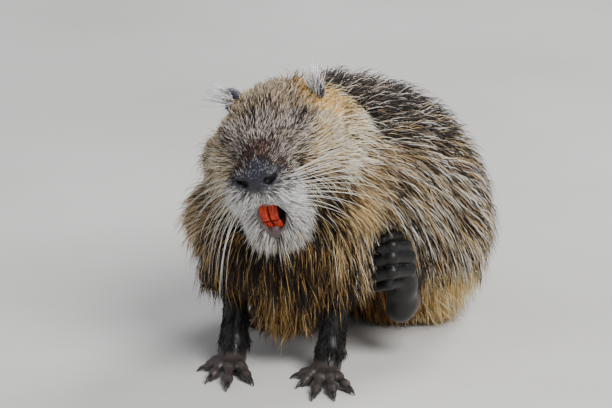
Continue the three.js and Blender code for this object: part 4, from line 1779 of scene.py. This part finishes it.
@dataclass
class Skin:
    """One skin over the whole animal, with nostrils, lips, lids, ears, toes and tail."""

    low: Place = (-246, -112, -4)
    high: Place = (116, 452, 262)
    cell: float = 2.4
    fine_cells: tuple[tuple[Place, float], ...] = (
        ((22, -70, 178), 46),
        ((38, -26, 222), 15),
        ((-32, -45, 212), 17),
        ((-29, -30, 8), 47),
        ((45, -18, 8), 47),
        ((-62, 112, 8), 52),
        ((75, 56, 82), 44),
    )
    places: Rows = field(init=False)
    normals: Rows = field(init=False)
    triangles: Rows = field(init=False)
    shares: Rows = field(init=False)

    # Painted shade for the head's hollows: a dark colour and its reach for the nostrils, the groove under the
    # nose, the mouth (its own red, darkened), the eye socket and the lids' slit.
    HOLE_SHADE_TINTS = (("050405", 1.2), ("17151a", 1), ("3a1f22", 1.5), ("120c0a", 1), ("120d0b", 1.3))

    def build(self, markings: Markings) -> None:
        """Builds the skin and keeps its points for the coat.

        Args:
            markings: The animal's markings.
        """
        flesh = WholeFlesh()
        places, faces = Net(self.low, self.high, self.cell).make(flesh)
        places, faces = self.refine(places, faces)
        places = settle(flesh, places)
        self.places = places
        self.normals = slope(flesh, places, 0.6)
        self.shares = markings.shares(places)
        fans = [[face[0], face[n], face[n + 1]] for face in faces for n in range(1, len(face) - 1)]
        self.triangles = np.array(fans)
        corners, starts = flatten(faces)
        piece = make_mesh("skin", places, corners, starts, self.tints(markings))
        SKIN_FINISH.dress(piece)
        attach(piece, BODY)
        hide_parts(*self.flesh_nodes())
        LOG.info("skin: %d vertices, %d faces", len(places), len(faces))

    def refine(self, places: Rows, faces: Rows) -> tuple[Rows, list[list[int]]]:
        """Halves the faces of the net where detail is wanted.

        Args:
            places: Its vertices.
            faces: Its faces.

        Returns:
            The refined vertices and faces.
        """
        mesh = bpy.data.meshes.new("net")
        mesh.from_pydata(places.tolist(), [], faces.tolist())
        work = bmesh.new()
        work.from_mesh(mesh)
        fine = [any((v.co - Vector(m)).length < r for m, r in self.fine_cells) for v in work.verts]
        edges = [e for e in work.edges if fine[e.verts[0].index] and fine[e.verts[1].index]]
        bmesh.ops.subdivide_edges(work, edges=edges, cuts=1, use_grid_fill=True)
        work.verts.index_update()
        new_places = np.array([v.co for v in work.verts])
        new_faces = [[v.index for v in f.verts] for f in work.faces]
        work.free()
        bpy.data.meshes.remove(mesh)
        return new_places, new_faces

    def tints(self, markings: Markings) -> Rows:
        """Gives the skin's colours, with painted shade in the nostrils, nose groove, mouth, eye socket and
        closed lids' slit.

        Args:
            markings: The animal's markings.

        Returns:
            One colour for each vertex.
        """
        tints = markings.skin_tint(self.places, self.shares)
        at = HeadPose.into(self.places)
        # Painted shade: the skin darkens into each hollow.
        for hole, (code, reach) in zip(HeadFlesh().holes(), self.HOLE_SHADE_TINTS):
            near = smooth_step(-hole.distance(at), -reach, reach * 0.3)
            tints = blend(tints, linear(code), near)
        lips = smooth_step(-HeadFlesh().lips().distance(at), -0.8, 0.2)
        return blend(tints, linear("6b5359"), lips)

    def flesh_nodes(self) -> list[str]:
        """Names the nodes that the skin stands for."""
        nodes = ["head", "neck", "trunk", "tail", "ear_right", "ear_left", "eyelids_left"]
        for place in ("front_right", "front_left", "hind_right", "hind_left"):
            nodes += [f"leg_{place}", f"foot_{place}"]
        return nodes


@dataclass(frozen=True)
class CoatPiece:
    """One piece of the coat.

    Attributes:
        side: 1 for the left half, -1 for the right half, 0 for both.
        bone: Two places of the line that it is unwrapped about.
        budget: How many tufts it has.
    """

    name: str
    zones: tuple[Zone, ...]
    side: int
    bone: tuple[Place, Place]
    rings: int
    budget: int


HEAD_LINE = ((24, -90, 178), (-8, 34, 200))
TRUNK_LINE = ((0, -20, 128), (14, 240, 84))
CHEST_LINE = ((0, -20, 180), (0, 20, 30))
LEGS_LINE = ((0, 0, 60), (0, 300, 10))
FACE_ZONES = (Zone.NOSE, Zone.BRIDGE, Zone.MUZZLE, Zone.SNOUT, Zone.CHIN, Zone.LIP, Zone.BROW)
RUFF_ZONES = (Zone.RUFF, Zone.RIDGE, Zone.PALE_AND_LIT)
CHEST_ZONES = (Zone.CHEST, Zone.BREAST, Zone.FRINGE, Zone.THROAT, Zone.BELLY)
LEG_ZONES = (Zone.FORELEG, Zone.HINDLEG, Zone.PAW, Zone.TAIL)
COAT_PIECES = (
    CoatPiece("coat_face", FACE_ZONES, 0, HEAD_LINE, 2, 14000),
    CoatPiece("coat_crown", (Zone.CROWN, Zone.GINGER, Zone.EAR), 0, HEAD_LINE, 2, 9500),
    CoatPiece("coat_cheeks", (Zone.CHEEK, Zone.LID), 0, HEAD_LINE, 2, 11000),
    CoatPiece("coat_ruff_left", RUFF_ZONES, 1, HEAD_LINE, 3, 9000),
    CoatPiece("coat_ruff_right", RUFF_ZONES, -1, HEAD_LINE, 3, 8500),
    CoatPiece("coat_chest", CHEST_ZONES, 0, CHEST_LINE, 3, 11500),
    CoatPiece("coat_back_left", (Zone.BACK,), 1, TRUNK_LINE, 3, 8000),
    CoatPiece("coat_back_right", (Zone.BACK,), -1, TRUNK_LINE, 3, 6500),
    CoatPiece("coat_flank_left", (Zone.FLANK,), 1, TRUNK_LINE, 3, 9500),
    CoatPiece("coat_flank_right", (Zone.FLANK,), -1, TRUNK_LINE, 3, 6500),
    CoatPiece("coat_haunches", (Zone.HAUNCH,), 0, TRUNK_LINE, 3, 8500),
    CoatPiece("coat_legs", LEG_ZONES, 0, LEGS_LINE, 2, 9500),
)


@dataclass
class Coat:
    """The whole coat, in pieces.

    Attributes:
        guard_share: Share of the tufts that are guard hairs, which the next five compare with the rest.
        steepest: The most degrees that a tuft may stand off the skin.
        low_easing: How much flatter the coat lies low on the flanks.
        middle_line: Where the left half of the trunk meets the right.
        clearance: How far tufts stay off the lifted foot.
    """

    skin: Skin
    markings: Markings
    guard_share: float = 0.22
    guard_length: float = 1.34
    guard_width: float = 0.75
    guard_lift: float = 1.35
    guard_clump: float = 0.35
    guard_stray: float = 1.9
    longest: float = 48.0
    steepest: float = 44.0
    low_easing: float = 0.34
    middle_line: float = 8.0
    clearance: float = 4.0

    def build(self) -> None:
        """Builds every piece."""
        for number, plan in enumerate(COAT_PIECES):
            rng = np.random.default_rng(SEED + number)
            tufts = self.grow(plan, rng)
            piece = tufts.piece(plan.name, rng)
            FUR_FINISH.dress(piece)
            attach(piece, BODY)
            LOG.info("%s: %d tufts, %d faces", plan.name, len(tufts.roots), len(piece.data.polygons))

    def grow(self, plan: CoatPiece, rng: Dice) -> Tufts:
        """Chooses where a piece's tufts grow, and their measures.

        Args:
            plan: The piece.
            rng: The source of randomness.

        Returns:
            The tufts.
        """
        zones = self.markings.zones
        skin = self.skin
        tri = skin.triangles
        a, b, c = (skin.places[tri[:, n]] for n in range(3))
        area = 0.5 * np.linalg.norm(np.cross(b - a, c - a), axis=1)
        wanted = [zones.index(zone) for zone in plan.zones]
        density = np.array([zone.value.density for zone in zones], dtype=float)
        share = skin.shares[tri].mean(axis=1)[:, wanted] @ density[wanted]
        middle = (a + b + c) / 3.0
        if plan.side:
            share = share * ((middle[:, 0] - self.middle_line) * plan.side > 0.0)
        share = share * area * self.allowed(middle)
        chance = share / share.sum()
        picked = rng.choice(len(tri), plan.budget, p=chance)
        u, v = rng.uniform(size=(2, plan.budget))
        flip = u + v > 1.0
        u, v = np.where(flip, 1.0 - u, u), np.where(flip, 1.0 - v, v)
        parts = np.stack([1.0 - u - v, u, v], axis=1)[:, :, None]
        corner = tri[picked]
        roots = (skin.places[corner] * parts).sum(axis=1)
        normals = unit((skin.normals[corner] * parts).sum(axis=1))
        shares = (skin.shares[corner] * parts).sum(axis=1)
        return self.measured(plan, rng, roots, normals, shares)

    def allowed(self, places: Rows) -> Rows:
        """Keeps tufts out of the mouth, nostrils, eye and lid slit, and off the soles.

        Args:
            places: Places on the skin.

        Returns:
            1 where tufts may grow, 0 where not.
        """
        at = HeadPose.into(places)
        flesh = HeadFlesh()
        free = np.ones(len(places))
        for hole, reach in zip(flesh.holes(), (0.6, -0.5, 1.5, 0.9, -0.2)):
            free *= hole.distance(at) > reach
        free *= flesh.lips().distance(at) > 2.2
        opening = Egg(flesh.opening(), (4.0, 5.0, 3.4), flesh.lid_turn)
        free *= opening.distance(at) > 0.7
        return free * (places[:, 2] > 1.2)

    def measured(self, plan: CoatPiece, rng: Dice, roots: Rows, normals: Rows, shares: Rows) -> Tufts:
        """Gives tufts their lengths, widths, angles and colours.

        Args:
            plan: The piece.
            rng: The source of randomness.
            roots: Where they grow.
            normals: Outward directions there.
            shares: The zones' shares.

        Returns:
            The tufts.
        """
        zones = self.markings.zones
        count = len(roots)
        guard = rng.uniform(size=count) < self.guard_share
        names = ("length", "width", "lift", "droop", "clump")
        length, width, lift, droop, clump = (self.markings.mixed(shares, name) for name in names)
        length = length * rng.uniform(0.6, 1.1, count) * np.where(guard, self.guard_length, 1.0)
        width = width * rng.uniform(0.75, 1.25, count) * np.where(guard, self.guard_width, 1.0)
        lift = np.radians(lift * rng.uniform(0.5, 1.25, count) * np.where(guard, self.guard_lift, 1.0))
        clump = clump * np.where(guard, self.guard_clump, 1.0)
        totals = np.cumsum(shares, axis=1)
        own = (rng.uniform(size=(count, 1)) * totals[:, -1:] > totals).sum(axis=1)
        own = np.minimum(own, len(zones) - 1)
        streak = wave_noise(roots, 13.0, 21) * 0.14 + wave_noise(roots, 45.0, 22) * 0.1
        root_tints = np.zeros((count, 3))
        tip_tints = np.zeros((count, 3))
        for number, zone in enumerate(zones):
            mine = np.flatnonzero(own == number)
            if not len(mine):
                continue
            kinds = zone.value.locks
            steps = np.cumsum([lock.share for lock in kinds])
            draw = np.clip(rng.uniform(size=len(mine)) + streak[mine], 0.0, 0.999)
            kind = np.minimum((draw[:, None] > steps[None, :]).sum(axis=1), len(kinds) - 1)
            root_tints[mine] = np.array([linear(lock.root) for lock in kinds])[kind]
            tip_tints[mine] = np.array([linear(lock.tip) for lock in kinds])[kind]
            length[mine] *= np.array([lock.reach for lock in kinds])[kind]
            width[mine] *= np.array([lock.stout for lock in kinds])[kind]
        low = smooth_step(150.0 - roots[:, 2], 0.0, 60.0) * (roots[:, 1] > 60.0)
        lift *= 1.0 - self.low_easing * low
        length = np.minimum(length, self.longest)
        lift = np.minimum(lift, math.radians(self.steepest))
        glow = rng.uniform(0.8, 1.2, (count, 1))
        normals = self.smoothed(roots, normals, shares)
        lies = lie_of_coat(roots, normals, shares, zones)
        stray = rng.normal(0.0, 0.17, (count, 1)) * np.where(guard, self.guard_stray, 1.0)[:, None]
        lies = unit(lies + np.cross(normals, lies) * stray)
        length *= self.clear_of_fist(roots, lies * 0.92 + normals * 0.3, length)
        root_tints, tip_tints = (np.clip(tints * glow, 0.0, 1.0) for tints in (root_tints, tip_tints))
        return Tufts(
            roots, normals, lies, length, width, lift, droop, clump,
            root_tints, tip_tints, self.unwrapped(plan, roots), plan.rings,
        )

    def clear_of_fist(self, roots: Rows, headings: Rows, length: Rows) -> Rows:
        """Gives the share of each tuft that stays off the lifted foot.

        Args:
            roots: Where the tufts grow.
            headings: The way each one goes.
            length: Their lengths.

        Returns:
            One share for each tuft.
        """
        share = np.ones(len(roots))
        for part in (1.0, 0.8, 0.6, 0.4, 0.2):
            reached = roots + headings * (length * part)[:, None]
            share = np.where(FIST.shape().distance(reached) < self.clearance, part - 0.1, share)
        return share

    def smoothed(self, roots: Rows, normals: Rows, shares: Rows) -> Rows:
        """Gives directions off the body that ignore small folds such as lids.

        Args:
            roots: Places on the skin.
            normals: Outward directions there.
            shares: The zones' shares.

        Returns:
            Unit vectors.
        """
        broad = slope(WholeFlesh(), roots, 5.0)
        at = HeadPose.into(roots)
        skull = slope(HeadFlesh().skull(), at, 4.0) @ HeadPose.matrix()[:3, :3].T
        brow = smooth_step(np.linalg.norm(np.abs(at) - [30.0, 37.0, 11.0], axis=1), 22.0, 13.0)
        brow = brow * (at[:, 1] < -20.0)
        ears = shares[:, self.markings.zones.index(Zone.EAR)]
        share = 0.2 + 0.8 * ears
        mixed = normals * share[:, None] + broad * (1.0 - share)[:, None]
        return unit(blend(mixed, skull, brow))

    def unwrapped(self, plan: CoatPiece, roots: Rows) -> Rows:
        """Unrolls the skin about a piece's own line.

        Args:
            plan: The piece.
            roots: Places on the skin.

        Returns:
            Places from 0 to 1 on its flat map.
        """
        start, end = (np.array(place, dtype=float) for place in plan.bone)
        axis = unit(end - start)
        upright = abs(axis[2]) > 0.9
        across = np.array([1.0, 0.0, 0.0]) if upright else unit(np.cross(UP, axis))
        above = np.cross(axis, across)
        away = roots - start
        turn = np.arctan2(away @ across, -(away @ above))
        along = away @ axis
        flat = np.stack([turn, along], axis=1)
        flat = (flat - flat.min(axis=0)) / np.maximum(np.ptp(flat, axis=0), NUDGE)
        return 0.01 + flat * 0.98


@dataclass(frozen=True)
class EarFans:
    """Long white hair that fans out of both ears."""

    hairs: int = 95
    length: float = 25.0
    width: float = 0.6
    steepest: float = 24.0
    clump: float = 0.2
    root: str = "e2e0de"
    tip: str = "ffffff"
    rings: int = 3

    def build(self) -> None:
        """Builds both fans as one piece."""
        rng = np.random.default_rng(SEED + 50)
        x, y, z = HeadFlesh().ear
        left = np.repeat([1.0, 0.0], self.hairs)[:, None]
        count = 2 * self.hairs
        spread = rng.normal(0.0, 0.5, (count, 3))
        at = np.array([x, y - 3.0, z + 1.0]) + spread * [3.4, 1.5, 6.0]
        aims = np.array([0.16, 0.0, 1.0]) * left + np.array([0.9, -0.25, 0.62]) * (1.0 - left)
        aim = aims + spread * [0.26, 0.3, 0.3] + rng.normal(0.0, 0.13, (count, 3))
        flip = np.concatenate([2.0 * left - 1.0, np.ones((count, 2))], axis=1)
        turn = HeadPose.matrix()[:3, :3]
        roots, lies = HeadPose.out(at * flip), unit(aim * flip) @ turn.T
        normals = unit(np.cross(lies, rng.normal(size=(count, 3))))
        shade = rng.uniform(0.8, 1.0, (count, 1))
        lengths = self.length * rng.uniform(0.45, 1.0, count)
        widths = np.full(count, self.width)
        lifts = np.radians(rng.uniform(0.0, self.steepest, count))
        droops = rng.uniform(0.0, 0.15, count)
        clumps = np.full(count, self.clump)
        root_tints, tip_tints = (shade * linear(code) for code in (self.root, self.tip))
        patches = rng.uniform(0.05, 0.95, (count, 2))
        tufts = Tufts(
            roots, normals, lies, lengths, widths, lifts, droops, clumps,
            root_tints, tip_tints, patches, self.rings,
        )
        piece = tufts.piece("ear_fans", rng)
        FUR_FINISH.dress(piece)
        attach(piece, BODY)
        LOG.info("ear fans")


@dataclass(frozen=True)
class Incisors:
    """Four orange front teeth."""

    width: float = 7.2
    depth: float = 5.0
    middle: float = 3.85
    sides: int = 16
    roundness: float = 0.62
    taper: float = 0.06
    bevel_start: float = 0.72
    upper: tuple[tuple[float, float], ...] = ((-70.0, -27.0), (-77.5, -32.0), (-80.5, -40.0), (-82.0, -50.0))
    lower: tuple[tuple[float, float], ...] = ((-62.0, -62.0), (-68.0, -60.5), (-74.0, -57.5), (-79.0, -52.5))

    def build(self) -> None:
        """Builds the teeth."""
        for side, name in ((-1.0, "right"), (1.0, "left")):
            for row, line in (("upper", self.upper), ("lower", self.lower)):
                rows = np.array([[side * self.middle, y, z] for y, z in line])
                node = f"incisor_{row}_{name}"
                piece = self.tooth(node + "_enamel", smooth_line(rows, 15), row == "upper")
                ENAMEL_FINISH.dress(piece)
                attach(piece, BODY)
                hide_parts(node)
                LOG.info("%s", piece.name)

    def tooth(self, name: str, line: Rows, is_upper: bool) -> Piece:
        """Builds one tooth with a flat front, rounded sides and a bevelled edge.

        Args:
            name: The piece's name.
            line: The line it follows, in the head's frame.
            is_upper: Whether it is an upper tooth.

        Returns:
            The object.
        """
        ahead = unit(np.gradient(line, axis=0))
        front = np.cross(ahead, [1.0, 0.0, 0.0]) * (-1.0 if is_upper else 1.0)
        angles = 2.0 * math.pi * np.arange(self.sides) / self.sides
        wide = np.sign(np.cos(angles)) * np.abs(np.cos(angles)) ** self.roundness * self.width / 2.0
        deep = np.sign(np.sin(angles)) * np.abs(np.sin(angles)) ** self.roundness * self.depth / 2.0
        rings = []
        for number, (middle, outward) in enumerate(zip(line, front)):
            share = number / (len(line) - 1)
            bevel = smooth_step(np.array([share]), self.bevel_start, 1.0)[0]
            depth = np.where(deep < 0.0, deep * (1.0 - 0.86 * bevel), deep * (1.0 - 0.25 * bevel))
            narrowed = wide * (1.0 - self.taper * share)
            rings.append(middle + np.outer(narrowed, [1.0, 0.0, 0.0]) + np.outer(depth, outward))
        corners, starts = flatten(capped_rings(len(line), self.sides))
        return outward_mesh(name, HeadPose.out(np.concatenate(rings)), corners, starts)


def outward_mesh(name: str, places: Rows, corners: Rows, starts: Rows) -> Piece:
    """Makes a closed mesh whose faces all look outward.

    Args:
        name: The object's name.
        places: Vertices in millimetres.
        corners: Vertex numbers, face after face.
        starts: Where each face starts.

    Returns:
        The object.
    """
    piece = make_mesh(name, places, corners, starts)
    work = bmesh.new()
    work.from_mesh(piece.data)
    bmesh.ops.recalc_face_normals(work, faces=work.faces)
    work.to_mesh(piece.data)
    work.free()
    return piece


@dataclass(frozen=True)
class Claws:
    """A curved, tapered claw on each toe."""

    radius: float = 2.0
    flat: float = 1.15
    sides: int = 12

    def build(self) -> None:
        """Builds the claws."""
        feet = [(foot.name, foot.claws()) for foot in FEET] + [(FIST.name, FIST.claws())]
        for foot, lines in feet:
            for number, line in enumerate(lines, start=1):
                node = f"claw_{foot}_{number}"
                path = smooth_line(line, 14)
                shares = np.linspace(0.0, 1.0, len(path))
                places, faces = tube(path, self.radius * (1.0 - shares**1.6 * 0.82), self.sides, self.flat)
                corners, starts = flatten(faces)
                places[:, 2] = np.maximum(places[:, 2], 0.3)
                piece = outward_mesh(node + "_horn", places, corners, starts)
                CLAW_FINISH.dress(piece)
                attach(piece, BODY)
                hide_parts(node)
            LOG.info("claws %s", foot)


@dataclass(frozen=True)
class Eye:
    """The open right eye."""

    rings: int = 20
    sides: int = 32
    look: Place = (-0.82, -0.52, 0.12)
    swell: float = 0.35
    swell_edge: float = 0.55
    gap: float = 0.1

    def build(self) -> None:
        """Builds the eyeball with a slight swell in front."""
        flesh = HeadFlesh()
        x, y, z = flesh.eye
        middle = np.array([-x, y, z])
        look = unit(np.array(self.look))
        places = []
        for ring in range(self.rings + 1):
            tilt = math.pi * ring / self.rings
            for side in range(self.sides):
                turn = 2.0 * math.pi * side / self.sides
                around = math.sin(tilt)
                way = np.array([around * math.cos(turn), around * math.sin(turn), math.cos(tilt)])
                ahead = max(0.0, float(way @ look) - self.swell_edge) / (1.0 - self.swell_edge)
                places.append(middle + way * (flesh.eye_radius - self.gap + self.swell * ahead))
        faces = []
        for ring in range(self.rings):
            for side in range(self.sides):
                a, b = ring * self.sides + side, ring * self.sides + (side + 1) % self.sides
                faces.append([a, a + self.sides, b + self.sides, b])
        corners, starts = flatten(faces)
        piece = outward_mesh("eye_right_ball", HeadPose.out(np.array(places)), corners, starts)
        CORNEA_FINISH.dress(piece)
        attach(piece, BODY)
        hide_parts("eye_right")
        LOG.info("eye")


@dataclass(frozen=True)
class Whiskers:
    """Long white bristles on both sides of the muzzle."""

    rows: int = 5
    columns: int = 5
    longest: float = 116.0
    shortest: float = 40.0
    radius: float = 0.22
    steps: int = 12

    def build(self) -> None:
        """Builds all whiskers as one piece."""
        rng = np.random.default_rng(SEED + 100)
        places, faces = [], []
        for side in (1.0, -1.0):
            for row in range(self.rows):
                for column in range(self.columns):
                    line = self.line(side, row, column, rng)
                    widths = self.radius * (1.0 - np.linspace(0.0, 1.0, len(line)) ** 1.5 * 0.85)
                    ring, face = tube(line, widths, 5)
                    start = sum(len(p) for p in places)
                    places.append(ring)
                    faces += [[start + v for v in f] for f in face]
        corners, starts = flatten(faces)
        piece = outward_mesh("whiskers", np.concatenate(places), corners, starts)
        WHISKER_FINISH.dress(piece)
        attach(piece, BODY)
        LOG.info("whiskers: %d", len(places))

    def line(self, side: float, row: int, column: int, rng: Dice) -> Rows:
        """Gives one whisker's line.

        Args:
            side: 1 for the left, -1 for the right.
            row: Its row, from the top.
            column: Its place in the row, from the front.
            rng: The source of randomness.

        Returns:
            Places along it, in the model's frame.
        """
        high, back = row / (self.rows - 1), column / (self.columns - 1)
        root = np.array([side * (15.0 + 6.5 * back), -86.0 + 17.0 * back, -17.0 - 19.0 * high])
        root = root + rng.normal(0.0, 0.5, 3)
        length = self.shortest + (self.longest - self.shortest) * (0.25 + 0.75 * back) * (1.0 - 0.35 * high)
        length *= rng.uniform(0.8, 1.08)
        slant = 0.26 - 0.4 * high if side > 0 else -0.1 - 0.6 * high
        out = unit(np.array([side, -0.15 + 0.5 * back, slant]))
        then = unit(np.array([side * 0.5, 1.0, slant - 0.36]))
        spots = [root - out * 3.0]
        for step in range(self.steps):
            share = (step + 1) / self.steps
            heading = unit(out * (1.0 - share) + then * share)
            spots.append(spots[-1] + heading * length / self.steps)
        line = HeadPose.out(np.array(spots))
        sag = np.linspace(0.0, 1.0, len(line)) ** 2 * (6.0 + 12.0 * high) * (1.0 if side > 0 else 2.6)
        line[:, 2] -= sag
        return line


@dataclass(frozen=True)
class Studio:
    """Floor, soft lights and the camera."""

    azimuth: float = 27.0
    elevation: float = 17.0
    lens: float = 300.0
    distance: float = 4.08
    across: float = 20.8
    up: float = 133.6
    depth: float = 60.0
    lamps: tuple[tuple[str, Place, float, float], ...] = (
        ("key", (1.9, -1.3, 2.2), 1.5, 118.0),
        ("fill", (-2.2, -1.4, 1.3), 1.8, 9.0),
        ("rim", (0.6, 1.8, 2.0), 1.0, 44.0),
    )
    lit: Place = (0.0, 0.0, 0.1)
    half_floor: float = 9.0

    def build(self) -> None:
        """Builds the floor, the lights and the camera."""
        floor = self.floor()
        FLOOR_FINISH.dress(floor)
        floor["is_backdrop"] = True
        self.lights()
        self.camera()
        LOG.info("studio")

    def floor(self) -> Piece:
        """Builds a wide, level floor."""
        places = np.array([[x, y, 0.0] for x, y in ((-1, -1), (1, -1), (1, 1), (-1, 1))]) * self.half_floor
        return make_mesh("studio_floor", places / METRES - FOREFEET_IN_ROW, np.arange(4), np.zeros(1))

    def lights(self) -> None:
        """Builds a large overhead light, a fill, a rim and a pale sky."""
        world = bpy.data.worlds.new("soft_sky")
        world.use_nodes = True
        sky = world.node_tree.nodes["Background"]
        sky.inputs["Color"].default_value = (0.86, 0.9, 1.0, 1.0)
        sky.inputs["Strength"].default_value = 0.37
        bpy.context.scene.world = world
        for name, place, size, power in self.lamps:
            lamp = bpy.data.lights.new(name, "AREA")
            lamp.shape = "DISK"
            lamp.size = size
            lamp.energy = power
            holder = bpy.data.objects.new(name, lamp)
            holder.location = place
            aim = Vector(self.lit) - Vector(place)
            holder.rotation_euler = aim.to_track_quat("-Z", "Y").to_euler()
            bpy.context.scene.collection.objects.link(holder)

    def camera(self) -> None:
        """Builds the camera."""
        a, e = math.radians(self.azimuth), math.radians(self.elevation)
        back = np.array([math.sin(a) * math.cos(e), -math.cos(a) * math.cos(e), math.sin(e)])
        right = np.array([math.cos(a), math.sin(a), 0.0])
        up = np.cross(back, right)
        aim = (FOREFEET_IN_ROW + right * self.across + up * self.up - back * self.depth) * METRES
        data = bpy.data.cameras.new("camera")
        data.lens = self.lens
        data.sensor_width = 36.0
        data.clip_end = 60.0
        camera = bpy.data.objects.new("camera", data)
        place = np.eye(4)
        place[:3] = np.stack([right, up, back, aim + back * self.distance], axis=1)
        camera.matrix_world = Matrix(place.tolist())
        bpy.context.scene.collection.objects.link(camera)
        bpy.context.scene.camera = camera


def save_sizes() -> None:
    """Works out the CAD model's box and the dressed model's box, without keeping either."""
    boxes = {"cad": CAD_BOX, "visual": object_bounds()}
    {name: [list(low), list(high)] for name, (low, high) in boxes.items()}


def main() -> None:
    """Builds the animal and its studio in order."""
    logging.basicConfig(level=logging.INFO, format="%(message)s")
    markings = Markings()
    skin = Skin()
    skin.build(markings)
    Coat(skin, markings).build()
    EarFans().build()
    Incisors().build()
    Claws().build()
    Eye().build()
    Whiskers().build()
    Studio().build()
    save_sizes()


if __name__ == "__main__":
    main()
